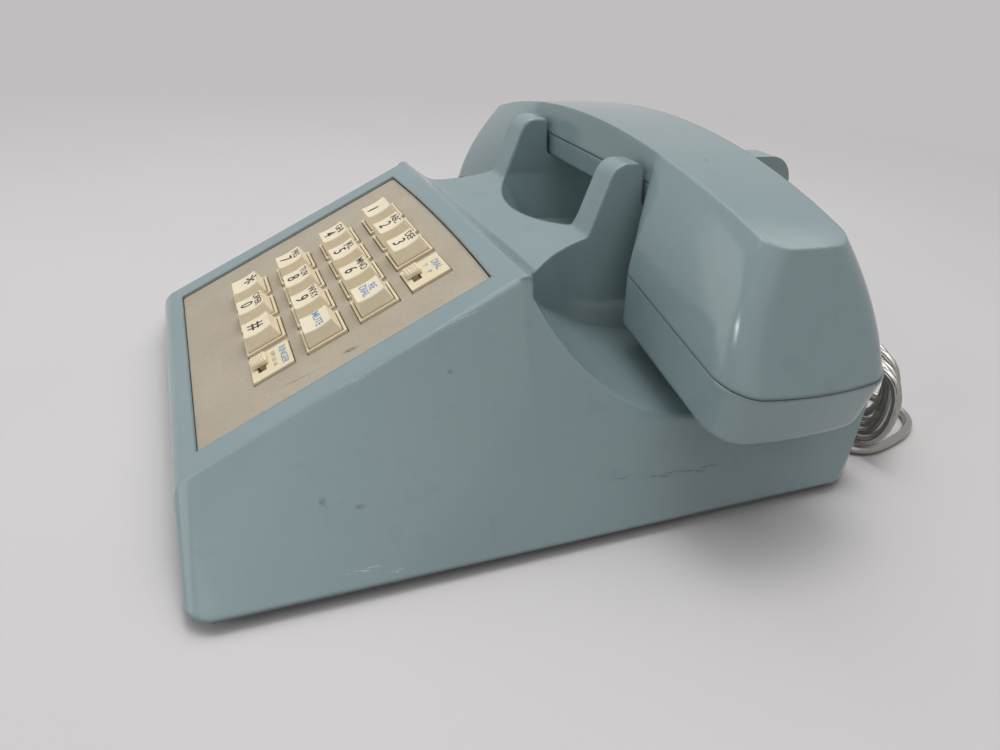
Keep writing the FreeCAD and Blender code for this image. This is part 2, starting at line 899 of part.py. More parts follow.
def onCrease(point, edge):
    """The curved edges where the coves meet the flared sides."""
    inWidth = size("creaseInnerX") < abs(point.x) < size("baseWidth") / 2
    inLength = rimEnd() < point.y < size("rearEarRearY")
    curved = edge.Curve.TypeId != "Part::GeomLine" and edge.Length > 2 * size("rimEdgeRound")
    return inWidth and inLength and curved and point.z > size("creaseLowZ")


def onInnerEar(point, edge):
    """The ears' edges on the trough's side."""
    beside = abs(abs(point.x) - size("earInner")) < size("sideOverlap")
    return beside and point.z > size("troughLipZ")


def makeHousing():
    outer, shell = housingShell()
    hole = size("screwDiameter") + 2 * size("clearance")
    panLevel = valueOf(panTop)
    high = size("rearEarTopZ")
    bosses = [rod(size("bossDiameter"), panLevel, high, x, y).common(outer) for x, y in baseBossSpots()]
    for x, y in keyBossSpots():
        reach = valueOf(wallBottom) + size("housingWall") / 2
        bosses.append(onPlate(rod(size("keyBossDiameter"), valueOf(boardTop), reach, x, y)))
    solid = shell.fuse(bosses)
    gap = size("clearance")
    plateBed = Part.Face(plateOutline(gap)).extrude(Vector(0, 0, size("plateThickness") + high))
    plateBed.translate(Vector(0, 0, -size("plateThickness")))
    window = size("windowSize")
    cuts = [
        onPlate(plateBed),
        onPlate(block(window, window, 2 * valueOf(wallBottom), 0, valueOf(fieldX), valueOf(fieldY))),
    ]
    for x, y in baseBossSpots():
        cuts.append(rod(hole, 0, size("footHeight") + size("screwLength") + gap, x, y))
    for x, y in keyBossSpots():
        top = valueOf(boardTop) + size("shortScrewLength")
        cuts.append(onPlate(rod(hole, valueOf(boardTop) - gap, top, x, y)))
    for side in (-1, 1):
        bore = size("plungerDiameter") + 2 * size("plungerGap")
        cuts.append(rod(bore, size("plungerBottomZ"), high, side * size("plungerX"), size("handsetY")))
    tall = size("jackBoreHeight") + size("jackOpening")
    low = valueOf(jackMiddle) - tall / 2
    depth = size("jackDepth")
    wide = size("lineBoreWidth") + size("jackOpening")
    cuts.append(block(wide, depth, low, low + tall, size("lineJackX"), size("lineJackY") + depth / 2))
    wide = size("coilBoreWidth") + size("jackOpening")
    cuts.append(block(depth, wide, low, low + tall, size("handsetJackX") - depth / 2, 0))
    newFeature("housing", solid.cut(cuts))


def makeFaceplate():
    body = newBody("faceplate")
    placedOnFace(body, "0", "0")
    sketch = sketchOn(body, "XY_Plane", "-plateThickness")
    half = "plateWidth/2"
    front = "-plateLength/2"
    shoulder = "plateLength/2 - plateBow"
    corners = [("-" + half, front), (half, front), (half, shoulder), ("-" + half, shoulder)]
    points = [Vector(valueOf(a), valueOf(b), 0) for a, b in corners]
    for i in (0, 1):
        sketch.addGeometry(Part.LineSegment(points[i], points[i + 1]))
    sketch.addGeometry(Part.Arc(points[2], Vector(0, size("plateLength") / 2, 0), points[3]))
    sketch.addGeometry(Part.LineSegment(points[3], points[0]))
    for i in range(4):
        sketch.addConstraint(Sketcher.Constraint("Coincident", i, 2, (i + 1) % 4, 1))
        fixPoint(sketch, i, 1, *corners[i])
    radius = "(plateWidth * plateWidth / 4 + plateBow * plateBow) / (2 * plateBow)"
    index = sketch.addConstraint(Sketcher.Constraint("Radius", 2, valueOf(radius)))
    sketch.setExpression("Constraints[%d]" % index, linked(radius))
    pad(body, sketch, "plateThickness")
    openings = sketchOn(body, "XY_Plane")
    for cell in list(keyCells.values()) + switchCells:
        x, y = cellMiddle(*cell)
        rectangle(openings, "collarWidth + 2 * clearance", "collarLength + 2 * clearance", x, y)
    pocket(body, openings, "plateThickness")
    side = size("plateWidth") / 2 - size("clearance")
    filleted(body, "plateCorner", lambda p, e: abs(p.x) > side and climb(e) > size("plateThickness") / 2)


def makeFrame():
    body = newBody("keypad_frame")
    placedOnFace(body, "0", "0")
    flange = sketchOn(body, "XY_Plane", wallBottom)
    rectangle(flange, "frameFlange", "frameFlange", fieldX, fieldY)
    pad(body, flange, "frameThickness", downward=True)
    raised = sketchOn(body, "XY_Plane", wallBottom)
    rectangle(raised, "windowSize - 2 * clearance", "windowSize - 2 * clearance", fieldX, fieldY)
    pad(body, raised, "housingWall")
    collars = sketchOn(body, "XY_Plane", "-plateThickness")
    for cell in list(keyCells.values()) + switchCells:
        rectangle(collars, "collarWidth", "collarLength", *cellMiddle(*cell))
    pad(body, collars, "plateThickness + collarHeight")
    holes = sketchOn(body, "XY_Plane", "collarHeight")
    for cell in keyCells.values():
        rectangle(holes, "collarWidth - 2 * collarWall", "collarLength - 2 * collarWall", *cellMiddle(*cell))
    for cell in switchCells:
        x, y = cellMiddle(*cell)
        x = x + " + knobX + knobTravel / 2"
        y = y + " + knobY"
        rectangle(holes, slotWidth, slotLength, x, y)
    pocket(body, holes, "collarHeight - " + frameBottom)
    posts = sketchOn(body, "XY_Plane", frameBottom)
    for a in ("-", "+"):
        for b in ("-", "+"):
            circle(posts, "framePost", fieldX + a + "framePostStep", fieldY + b + "framePostStep")
    pad(body, posts, frameBottom + " - " + boardTop, downward=True)


slotWidth = "(knobStemWidth + knobTravel + 2 * clearance)"
slotLength = "(knobStemLength + 2 * clearance)"


def makeKey(label, column, row):
    """One key: a tapered cap with a dished top, a shaft, a flange under the frame and a stem."""
    body = newBody(label)
    placedOnFace(body, *cellMiddle(column, row))
    shaft = sketchOn(body, "XY_Plane", frameBottom + " - clearance")
    rectangle(shaft, keyWidth, keyLength)
    pad(body, shaft, "keyRise + clearance - " + frameBottom)
    flange = sketchOn(body, "XY_Plane", frameBottom + " - clearance")
    rectangle(flange, keyWidth + " + 2 * keyFlangeLip", keyLength + " + 2 * keyFlangeLip")
    pad(body, flange, "keyFlange", downward=True)
    stem = sketchOn(body, "XY_Plane", frameBottom + " - clearance - keyFlange")
    rectangle(stem, "keyStem", "keyStem")
    pad(body, stem, "keyStemLength", downward=True)
    cap = sketchOn(body, "XY_Plane", "keyRise")
    rectangle(cap, keyWidth, keyLength)
    pad(body, cap, "keyHeight - keyRise", taper="-keyTaper")
    dish = sketchOn(body, "YZ_Plane")
    circle(dish, "2 * keyDishRound", "0", "keyHeight - keyDish + keyDishRound")
    pocket(body, dish, "collarWidth", bothWays=True)
    filleted(body, "keyEdgeRound", lambda p, e: size("keyRise") < p.z < size("keyHeight") - size("keyDish"))


def makeSlider(label, column, row):
    """A slide switch's knob, ribbed on top, with its stem down into the switch."""
    body = newBody(label)
    x, y = cellMiddle(column, row)
    placedOnFace(body, x + " + knobX", y + " + knobY")
    knob = sketchOn(body, "XY_Plane", "collarHeight + clearance")
    rectangle(knob, "knobWidth", "knobLength")
    pad(body, knob, "knobHeight - clearance")
    stem = sketchOn(body, "XY_Plane", "collarHeight + clearance")
    rectangle(stem, "knobStemWidth", "knobStemLength")
    pad(body, stem, "collarHeight + switchSlot - switchHeight - " + boardTop, downward=True)
    ribs = sketchOn(body, "XY_Plane", "collarHeight + knobHeight")
    for i in range(int(size("knobRibs"))):
        place = "(%d - (knobRibs - 1) / 2) * knobRibPitch" % i
        rectangle(ribs, "knobRibWidth", "knobLength - 2 * clearance", place)
    pad(body, ribs, "knobRibHeight")


def makeSwitch(label, column, row):
    """The switch on the keypad board, with the slot its knob's stem moves in."""
    body = newBody(label)
    x, y = cellMiddle(column, row)
    placedOnFace(body, x + " + knobX + knobTravel / 2", y + " + knobY")
    case = sketchOn(body, "XY_Plane", boardTop)
    rectangle(case, "switchWidth", "switchLength")
    pad(body, case, "switchHeight")
    slot = sketchOn(body, "XY_Plane", boardTop + " + switchHeight")
    rectangle(slot, slotWidth, slotLength)
    pocket(body, slot, "switchSlot")


def makeMat():
    """The rubber mat under the keys: a sheet with a dome for each key."""
    body = newBody("key_mat")
    placedOnFace(body, "0", "0")
    sheetTop = boardTop + " + matThickness"
    mat = sketchOn(body, "XY_Plane", sheetTop)
    rectangle(mat, "matSize", "matSize", fieldX, fieldY)
    for cell in switchCells:
        x, y = cellMiddle(*cell)
        rectangle(mat, "switchWidth + 4 * clearance", "switchLength + 4 * clearance",
                  x + " + knobX + knobTravel / 2", y + " + knobY")
    pad(body, mat, "matThickness", downward=True)
    domes = sketchOn(body, "XY_Plane", sheetTop)
    for cell in keyCells.values():
        circle(domes, "domeDiameter", *cellMiddle(*cell))
    pad(body, domes, "domeHeight", taper="-keyTaper")


def makeKeyBoard():
    body = newBody("keypad_board")
    placedOnFace(body, "0", "0")
    board = sketchOn(body, "XY_Plane", boardTop)
    rectangle(board, "keyBoardWidth", "keyBoardLength", fieldX, fieldY)
    for a in ("-", "+"):
        for b in ("-", "+"):
            x = fieldX + a + "(keyBoardWidth / 2 - keyBossInset)"
            y = fieldY + b + "keyBossY"
            circle(board, "screwDiameter + 2 * clearance", x, y)
    pad(body, board, "boardThickness", downward=True)


def screw(length):
    """A pan-head screw pointing up, its head's upper face at the origin, with a cross recess."""
    under = Vector(0, 0, -size("screwHeadHeight"))
    head = Part.makeCylinder(size("screwHead") / 2, size("screwHeadHeight"), under)
    shank = Part.makeCylinder(size("screwDiameter") / 2, length)
    deep = size("screwRecess")
    low = -size("screwHeadHeight")
    wide = size("screwHead") / 2
    cross = block(wide, deep, low, low + deep).fuse(block(deep, wide, low, low + deep))
    return head.fuse(shank).cut(cross)


def makeScrews(label, length, spots, onSlope=False, pointsDown=False):
    """Several equal screws; each spot is the middle of the head's seat."""
    copies = []
    for spot in spots:
        copy = screw(length)
        if pointsDown:
            copy.rotate(Vector(), Vector(1, 0, 0), 180)
        copy.translate(Vector(*spot))
        copies.append(onPlate(copy) if onSlope else copy)
    newFeature(label, Part.makeCompound(copies))


def makePan():
    """The pan that closes the underside: outline, standoffs, sound slots and screw holes."""
    body = newBody("base_plate")
    placed(body, "0", "0", "footHeight")
    pan = sketchOn(body, "XY_Plane")
    front = "panFrontWidth / 2"
    wide = "panWidth / 2"
    polygon(pan, [
        ("-" + front, "panFrontY"), (front, "panFrontY"), (wide, "panWideY"),
        (wide, "panRearY"), ("-" + wide, "panRearY"), ("-" + wide, "panWideY"),
    ])
    pad(body, pan, "panThickness")
    filleted(body, "panCorner", lambda p, e: p.y > size("panRearY") - size("clearance")
             and e.Length < 2 * size("panThickness"))
    standoffs = sketchOn(body, "XY_Plane", "panThickness")
    for x, y in boardCorners:
        circle(standoffs, "standoffDiameter", x, y)
    pad(body, standoffs, "standoffHeight")
    bores = sketchOn(body, "XY_Plane", "panThickness + standoffHeight")
    for x, y in boardCorners:
        circle(bores, "screwDiameter + 2 * clearance", x, y)
    pocket(body, bores, "standoffHeight")
    holes = sketchOn(body, "XY_Plane", "panThickness")
    for x in ("-bossX", "bossX"):
        for y in ("bossFrontY", "bossRearY"):
            circle(holes, "screwDiameter + 2 * clearance", x, y)
    for i in range(int(size("slotCount"))):
        y = "sounderY + (%d - (slotCount - 1) / 2) * slotPitch" % i
        rectangle(holes, "slotLength", "slotWidth", "sounderX", y)
    pocket(body, holes, "panThickness")


boardCorners = [
    ("boardX %s (boardWidth / 2 - standoffInset)" % a, "boardY %s (boardLength / 2 - standoffInset)" % b)
    for a in "-+" for b in "-+"
]


def makeFoot(label, x, y):
    body = newBody(label)
    placed(body, x, y, "0")
    foot = sketchOn(body, "XY_Plane")
    circle(foot, "footDiameter")
    pad(body, foot, "footHeight")
    filleted(body, "footRound", lambda p, e: p.z < size("clearance") and e.Closed)


def makeMainBoard():
    """The circuit board with its line transformer and dialler chip."""
    body = newBody("main_board")
    placed(body, "boardX", "boardY", panTop + " + standoffHeight")
    board = sketchOn(body, "XY_Plane")
    rectangle(board, "boardWidth", "boardLength")
    for x, y in boardCorners:
        circle(board, "screwDiameter + 2 * clearance", x + " - boardX", y + " - boardY")
    pad(body, board, "boardThickness")
    transformer = sketchOn(body, "XY_Plane", "boardThickness")
    rectangle(transformer, "transformerSize", "transformerSize", "transformerX")
    pad(body, transformer, "transformerHeight")
    chip = sketchOn(body, "XY_Plane", "boardThickness")
    rectangle(chip, "chipWidth", "chipLength", "-transformerX")
    pad(body, chip, "chipHeight")


def makeSounder():
    body = newBody("sounder")
    placed(body, "sounderX", "sounderY", panTop)
    rim = sketchOn(body, "XY_Plane")
    circle(rim, "sounderDiameter")
    pad(body, rim, "sounderHeight")
    hollow = sketchOn(body, "XY_Plane")
    circle(hollow, "sounderDiameter - 2 * sounderRim")
    pocket(body, hollow, "sounderRim", upward=True)


def makePlunger(label, x):
    body = newBody(label)
    placed(body, x, "handsetY", "plungerBottomZ")
    rodSketch = sketchOn(body, "XY_Plane")
    circle(rodSketch, "plungerDiameter")
    pad(body, rodSketch, "saddleZ - plungerBottomZ")
    filleted(body, "earInnerRound", lambda p, e: e.Closed and p.z > size("clearance"))


def makeLever():
    """The hook lever: an arm under each plunger, a web, and a barrel on the hook pin."""
    body = newBody("hook_lever")
    placed(body, "0", "0", "plungerBottomZ - clearance - leverThickness")
    outer = "(plungerX + leverArm / 2)"
    inner = "(plungerX - leverArm / 2)"
    plan = sketchOn(body, "XY_Plane")
    polygon(plan, [
        ("-" + outer, "leverTipY"), ("-" + inner, "leverTipY"),
        ("-" + inner, "leverWebY"), (inner, "leverWebY"),
        (inner, "leverTipY"), (outer, "leverTipY"),
        (outer, "pivotY"), ("-" + outer, "pivotY"),
    ])
    pad(body, plan, "leverThickness")
    drop = "(plungerBottomZ - clearance - leverThickness - pivotZ)"
    riser = sketchOn(body, "XY_Plane")
    rectangle(riser, barrelLength, "leverRiser", "0", "pivotY - leverRiser / 2")
    pad(body, riser, drop, downward=True)
    barrel = sketchOn(body, "YZ_Plane", "-" + barrelLength + " / 2")
    circle(barrel, "barrelDiameter", "pivotY", "-" + drop)
    pad(body, barrel, barrelLength)
    bore = sketchOn(body, "YZ_Plane")
    circle(bore, "pivotDiameter + 2 * clearance", "pivotY", "-" + drop)
    pocket(body, bore, "2 * " + barrelLength, bothWays=True)


barrelLength = "(2 * (cheekX - clearance))"


def makePin():
    body = newBody("hook_pin")
    placed(body, "0", "pivotY", "pivotZ")
    pin = sketchOn(body, "YZ_Plane", "-cheekX - 2 * cheekThickness")
    circle(pin, "pivotDiameter")
    pad(body, pin, "2 * (cheekX + 2 * cheekThickness)")


def makeBracket():
    """The hook bracket: a foot on the pan with two cheeks that carry the hook pin."""
    body = newBody("hook_bracket")
    placed(body, "0", "0", panTop)
    rear = "(pivotY + cheekWidth / 2)"
    foot = sketchOn(body, "XY_Plane")
    side = "(cheekX + cheekThickness)"
    polygon(foot, [("-" + side, "bracketFrontY"), (side, "bracketFrontY"), (side, rear), ("-" + side, rear)])
    pad(body, foot, "bracketThickness")
    cheeks = sketchOn(body, "XY_Plane", "bracketThickness")
    for x in ("-cheekX - cheekThickness / 2", "cheekX + cheekThickness / 2"):
        rectangle(cheeks, "cheekThickness", "cheekWidth", x, "pivotY")
    pad(body, cheeks, "pivotZ + cheekRise - bracketThickness - " + panTop)
    bore = sketchOn(body, "YZ_Plane")
    circle(bore, "pivotDiameter + 2 * clearance", "pivotY", "pivotZ - " + panTop)
    pocket(body, bore, "4 * cheekX", bothWays=True)


def makeHookSwitch():
    body = newBody("hook_switch")
    placed(body, "0", "hookSwitchY", panTop + " + bracketThickness")
    case = sketchOn(body, "XY_Plane")
    rectangle(case, "hookSwitchWidth", "hookSwitchDepth")
    pad(body, case, "hookSwitchHeight")
    step = sketchOn(body, "XY_Plane", "hookSwitchHeight")
    rectangle(step, "hookSwitchWidth", "hookSwitchDepth / 2", "0", "-hookSwitchDepth / 2")
    pocket(body, step, "leafWidth")


def makeLeaf():
    """The switch's spring leaf, from the switch's top up to just under the lever's web."""
    body = newBody("hook_leaf")
    placed(body, "0", "0", "0")
    low = panTop + " + bracketThickness + hookSwitchHeight"
    tip = "plungerBottomZ - 2 * clearance - leverThickness"
    start = "hookSwitchY"
    side = sketchOn(body, "YZ_Plane", "-leafWidth / 2")
    polygon(side, [
        (start, low), (start + " + hookSwitchDepth / 2", low),
        (start + " + hookSwitchDepth / 2", low + " + leafThickness"),
        ("leafTipY", tip), ("leafTipY - leafThickness", tip),
        (start + " + hookSwitchDepth / 2 - leafThickness", low + " + 2 * leafThickness"),
        (start, low + " + leafThickness"),
    ])
    pad(body, side, "leafWidth")


def makeLineJack():
    body = newBody("line_jack")
    placed(body, "lineJackX", "lineJackY", panTop)
    case = sketchOn(body, "XY_Plane")
    rectangle(case, "jackWidth", "jackDepth", "0", "-jackDepth / 2")
    pad(body, case, "jackHeight")
    bore = sketchOn(body, "XZ_Plane")
    rectangle(bore, "lineBoreWidth", "jackBoreHeight", "0", "jackHeight / 2")
    pocket(body, bore, "jackBoreDepth", upward=True)


def makeHandsetJack():
    body = newBody("handset_jack")
    placed(body, "handsetJackX", "0", panTop)
    case = sketchOn(body, "XY_Plane")
    rectangle(case, "jackDepth", "jackWidth", "jackDepth / 2")
    pad(body, case, "jackHeight")
    bore = sketchOn(body, "YZ_Plane")
    rectangle(bore, "coilBoreWidth", "jackBoreHeight", "0", "jackHeight / 2")
    pocket(body, bore, "jackBoreDepth", upward=True)


def cupFloor(x):
    """Height of the bottom shell's inner floor in a cup."""
    return bottomRail(x - size("handsetWall"))[1] + size("handsetWall")


def floorLean():
    return math.atan(-seamSlope())


def soundHoles(side):
    """Rods for the holes under a cup's capsule: one in the middle and rings around it."""
    spots = [(0, 0)]
    for ring in range(1, int(size("soundRings")) + 1):
        count = 6 * ring
        for i in range(count):
            angle = 2 * math.pi * i / count
            reach = ring * size("soundRing")
            spots.append((reach * math.cos(angle), reach * math.sin(angle)))
    deep = 2 * size("handsetWall")
    rods = Part.makeCompound([rod(size("soundHole"), -deep, deep, x, y) for x, y in spots])
    rods.rotate(Vector(), Vector(0, 1, 0), side * math.degrees(floorLean()))
    rods.translate(Vector(side * size("capsuleX"), size("handsetY"), cupFloor(size("capsuleX"))))
    return rods


def atEnd(point):
    return abs(point.x) > size("handsetEndX") and abs(point.y - size("handsetY")) > size("handsetTopEndHalf")


def makeTopShell():
    wall = size("handsetWall")
    half = size("seamGap") / 2
    drop = archZ(size("handsetEndX")) - size("handsetSeamEndZ")
    lean = math.atan2(size("handsetSeamX") - size("handsetEndX"), drop)
    outer = cutEnds(railSolid(topRail, seamRail, 0, 0, half, size("cupSwell")), lean, 0)
    outer = rounded(outer, size("endCornerRound"), lambda p, e: atEnd(p) and climb(e) > drop / 2)
    inner = cutEnds(railSolid(topRail, seamRail, wall, -wall, -wall), lean, wall)
    roof = size("handsetTopZ")
    seam = size("gripSeamZ") + half
    offset = size("gripScrewX")
    posts = [rod(size("gripBoss"), seam, roof, x, size("handsetY")) for x in (-offset, offset)]
    shell = outer.cut(inner).fuse([post.common(outer) for post in posts])
    bore = size("screwDiameter") + 2 * size("clearance")
    top = gripScrewSeat() + size("screwLength") + size("clearance")
    holes = [rod(bore, 0, top, side * size("gripScrewX"), size("handsetY")) for side in (-1, 1)]
    newFeature("handset_top_shell", shell.cut(holes))


def gripScrewSeat():
    return bottomRail(0)[1] + size("gripRecess")


def makeBottomShell():
    wall = size("handsetWall")
    half = size("seamGap") / 2
    lean = -math.radians(size("endLowLean"))
    outer = cutEnds(railSolid(seamRail, bottomRail, 0, -half, 0), lean, 0)
    upright = size("cupDepth") / 2
    outer = rounded(outer, size("endCornerRound"), lambda p, e: atEnd(p) and climb(e) > upright)
    outer = rounded(outer, size("bottomEdgeRound"), onCupBottom)
    inner = cutEnds(railSolid(seamRail, bottomRail, wall, wall, wall), lean, wall)
    inner = rounded(inner, size("endCornerRound") - wall, lambda p, e: atEnd(p) and climb(e) > upright)
    seam = size("gripSeamZ") - half
    spots = [(side * size("gripScrewX"), size("handsetY")) for side in (-1, 1)]
    posts = [rod(size("gripBoss"), 0, seam, x, y).common(outer) for x, y in spots]
    shell = outer.cut(inner).fuse(posts)
    cuts = [soundHoles(-1), soundHoles(1)]
    for x, y in spots:
        cuts.append(rod(size("screwDiameter") + 2 * size("clearance"), 0, seam + wall, x, y))
        cuts.append(rod(size("screwHead") + 2 * size("clearance"), 0, gripScrewSeat(), x, y))
    wide = size("coilBoreWidth") + size("jackOpening")
    tall = size("jackBoreHeight") + size("jackOpening")
    low = coilJackLow() + size("coilJackHeight") / 2 - tall / 2
    deep = size("coilJackDepth")
    cuts.append(block(deep, wide, low, low + tall, size("coilJackX") - deep / 2, size("handsetY")))
    newFeature("handset_bottom_shell", shell.cut(cuts))


def climb(edge):
    """How far an edge's ends differ in height."""
    return abs(edge.Vertexes[0].Z - edge.Vertexes[-1].Z)


def onCupBottom(point, edge):
    """The lower edges of the cups, along both sides and around the ends."""
    x = abs(point.x)
    low = point.z < seamRail(x)[1] - size("cupDepth") / 2
    aside = abs(point.y - size("handsetY")) > size("handsetTopEndHalf")
    return low and x > size("cupX") + size("clearance") and (aside or x > size("handsetEndX"))


def coilJackLow():
    """Where the handset's jack stands: just over the floor's highest point under it."""
    return cupFloor(abs(size("coilJackX")) - size("coilJackDepth")) + size("clearance")


def makeCapsule(label, side):
    """A capsule: its case and the wider rim it stands on, square to the cup's floor."""
    body = newBody(label)
    slope = "atan((cupSeamZ - handsetSeamEndZ) / (handsetSeamX - cupX))"
    turned(body, Vector(0, side, 0), slope)
    drop = "(capsuleX - handsetWall - cupX) * (cupSeamZ - handsetSeamEndZ) / (handsetSeamX - cupX)"
    placed(body, "%d * capsuleX" % side, "handsetY", "cupSeamZ - cupDepth + handsetWall - " + drop)
    rim = sketchOn(body, "XY_Plane")
    circle(rim, "capsuleDiameter")
    pad(body, rim, "capsuleHeight / 2")
    case = sketchOn(body, "XY_Plane", "capsuleHeight / 2")
    circle(case, "capsuleDiameter - 4 * capsuleRim")
    pad(body, case, "capsuleHeight / 2")
    hollow = sketchOn(body, "XY_Plane")
    circle(hollow, "capsuleDiameter - 2 * capsuleRim")
    pocket(body, hollow, "capsuleRim", upward=True)


def makeWeight():
    body = newBody("handset_weight")
    placed(body, "0", "handsetY", "saddleZ + gripGap + handsetWall")
    bar = sketchOn(body, "XY_Plane")
    rectangle(bar, "weightWidth", "weightLength")
    pad(body, bar, "weightHeight")
    low = size("clearance")
    high = size("weightHeight") - size("clearance")
    filleted(body, "earInnerRound", lambda p, e: low < p.z < high)


def makeCoilJack():
    body = newBody("handset_cord_jack")
    slope = "(cupSeamZ - handsetSeamEndZ) / (handsetSeamX - cupX)"
    inner = "(-coilJackX - coilJackDepth)"
    low = "cupSeamZ - cupDepth + handsetWall + clearance - (%s - handsetWall - cupX) * %s" % (inner, slope)
    placed(body, "coilJackX", "handsetY", low)
    case = sketchOn(body, "XY_Plane")
    rectangle(case, "coilJackDepth", "coilJackWidth", "coilJackDepth / 2")
    pad(body, case, "coilJackHeight")
    bore = sketchOn(body, "YZ_Plane")
    rectangle(bore, "coilBoreWidth", "jackBoreHeight", "0", "coilJackHeight / 2")
    pocket(body, bore, "coilBoreDepth", upward=True)



def placedPlug(label, axis, angle, x, y, z):
    """A modular plug, drawn along +Y from its nose to the face where the cord enters."""
    body = newBody(label)
    turned(body, axis, angle)
    placed(body, x, y, z)
    case = sketchOn(body, "XZ_Plane", "-plugNose")
    rectangle(case, "plugWidth", "plugHeight")
    pad(body, case, "plugLength - plugNose", downward=True)
    nose = sketchOn(body, "XZ_Plane", "-plugNose")
    rectangle(nose, "plugWidth", "plugNoseHeight", "0", "(plugNoseHeight - plugHeight) / 2")
    pad(body, nose, "plugNose")


tiny = 1e-9  # a squared length or angle below this counts as none


def biarc(start, along, end, away):
    """Two arcs that leave start along one direction, reach end along another and meet smoothly."""
    chord = end - start
    both = along + away
    square = 2 * (1 - along.dot(away))
    lean = chord.dot(both)
    if square < tiny:
        reach = chord.dot(chord) / (2 * lean)
    else:
        reach = (math.sqrt(lean * lean + square * chord.dot(chord)) - lean) / square
    first = start + along * reach
    second = end - away * reach
    middle = (first + second) / 2
    return [bend(start, first, middle), bend(middle, second, end)]


def bend(start, corner, end):
    """The arc that touches both sides of a corner, or the straight run where they line up."""
    half = (start - corner).getAngle(end - corner) / 2
    between = (start + end) / 2
    toCorner = corner - between
    if toCorner.dot(toCorner) < tiny:
        return Part.LineSegment(start, end).toShape()
    turn = math.pi / 2 - half
    middle = between + toCorner * (math.tan(turn / 2) / math.tan(turn))
    return Part.Arc(start, middle, end).toShape()


def hankKnots():
    """Points and directions where the runs and the end bends of the hank's upright loops meet."""
    along = Vector(1, 0, 0)
    upward = Vector(0, 0, 1)
    step = Vector(-size("hankShift"), size("cordStep"), 0)
    centre = Vector(size("hankX"), size("hankY"), size("hankZ"))
    reach = along * size("hankReach")
    half = upward * size("hankHalf")
    end = along * (size("hankReach") + size("hankHalf"))
    back = (step - 2 * reach).normalize()
    knots = [(centre - half, along)]
    for i in range(int(size("hankLoops"))):
        knots.append((centre + reach - half, along))
        knots.append((centre + end, upward))
        knots.append((centre + reach + half, back))
        centre = centre + step
        knots.append((centre - reach + half, back))
        knots.append((centre - end, -upward))
        knots.append((centre - reach - half, along))
    knots.append((centre - half, along))
    return knots


def cordKnots():
    """The whole cord: out of the line plug, round the hank, one free loop, and to the wall plug."""
    plugEnd = Vector(size("lineJackX"), size("lineJackY"), valueOf(jackMiddle))
    plugEnd.y = plugEnd.y - size("jackBoreDepth") + size("clearance") + size("plugLength")
    lead = [
        (plugEnd, Vector(0, 1, 0)),
        (plugEnd + Vector(0, 2 * size("cordDiameter"), 0), Vector(0, 1, 0)),
        (Vector(-24, size("hankY"), 10), Vector(1, 0, -0.4)),
        (Vector(4, size("hankY"), size("hankZ") - size("hankHalf")), Vector(1, 0, 0)),
    ]
    tail = [
        (Vector(50, 166, 2), Vector(0.94, 0.34, 0)),
        (Vector(84, 150, 2), Vector(0.2, -0.98, 0)),
        (Vector(93.5, 129, 2), Vector(0.1, -1, 0)),
        (Vector(82, 118.8, 2), Vector(-1, 0, 0)),
        (wallPlugEnd() + Vector(2 * size("cordDiameter"), 0, 0), Vector(-1, 0, 0)),
        (wallPlugEnd(), Vector(-1, 0, 0)),
    ]
    return [(p, Vector(t).normalize()) for p, t in lead + hankKnots() + tail]


def wallPlugEnd():
    return Vector(46, 119.8, size("plugHeight") / 2)


def leastGap(edges):
    """The least gap between stretches of the cord that lie further apart along it than they bend."""
    points = []
    for edge in edges:
        points += edge.discretize(Distance=size("cordDiameter") / 2)[:-1]
    skip = int(4 * size("cordDiameter"))
    least = min(
        (points[i] - points[j]).Length for i in range(len(points)) for j in range(i + skip, len(points)))
    return least - size("cordDiameter")


def makeCord():
    knots = cordKnots()
    edges = []
    for (start, along), (end, away) in zip(knots, knots[1:]):
        edges += biarc(start, along, end, away)
    path = Part.Wire(edges)
    ring = Part.Wire(Part.makeCircle(size("cordDiameter") / 2, knots[0][0], knots[0][1]))
    cord = path.makePipeShell([ring], True, False)
    section = math.pi * size("cordDiameter") ** 2 / 4
    radii = [edge.Curve.Radius for edge in edges if edge.Curve.TypeId == "Part::GeomCircle"]
    print("cord length %.0f mm, volume over section times length %.4f" % (
        path.Length, cord.Volume / (section * path.Length)))
    print("cord's tightest bend %.1f mm, least gap to itself %.2f mm" % (min(radii), leastGap(edges)))
    newFeature("line_cord", cord)


def makePlugs():
    noseY = "lineJackY - jackBoreDepth + clearance"
    placedPlug("line_plug", Vector(0, 0, 1), "0 * 1 deg", "lineJackX", noseY, jackMiddle)
    end = wallPlugEnd()
    body = "%s - plugLength" % end.x
    placedPlug("wall_plug", Vector(0, 0, 1), "-90 * 1 deg", body, str(end.y), "plugHeight / 2")


makeHousing()
makeFaceplate()
makeFrame()
for label, cell in keyCells.items():
    makeKey(label, *cell)
for name, cell in zip(("tone", "ringer"), switchCells):
    makeSlider(name + "_slider", *cell)
    makeSwitch(name + "_switch", *cell)
makeMat()
makeKeyBoard()
boardBottom = valueOf(boardTop) - size("boardThickness")
keypadScrewSpots = [(x, y, boardBottom) for x, y in keyBossSpots()]
makeScrews("keypad_screws", size("shortScrewLength"), keypadScrewSpots, onSlope=True)
makePan()
feet = {
    "foot_front_left": ("-footX", "footFrontY"), "foot_front_right": ("footX", "footFrontY"),
    "foot_rear_left": ("-footX", "footRearY"), "foot_rear_right": ("footX", "footRearY"),
}
for label, spot in feet.items():
    makeFoot(label, *spot)
makeScrews("base_screws", size("screwLength"), [(x, y, size("footHeight")) for x, y in baseBossSpots()])
makeMainBoard()
boardHigh = valueOf(panTop + " + standoffHeight + boardThickness")
boardSpots = [(valueOf(x), valueOf(y), boardHigh) for x, y in boardCorners]
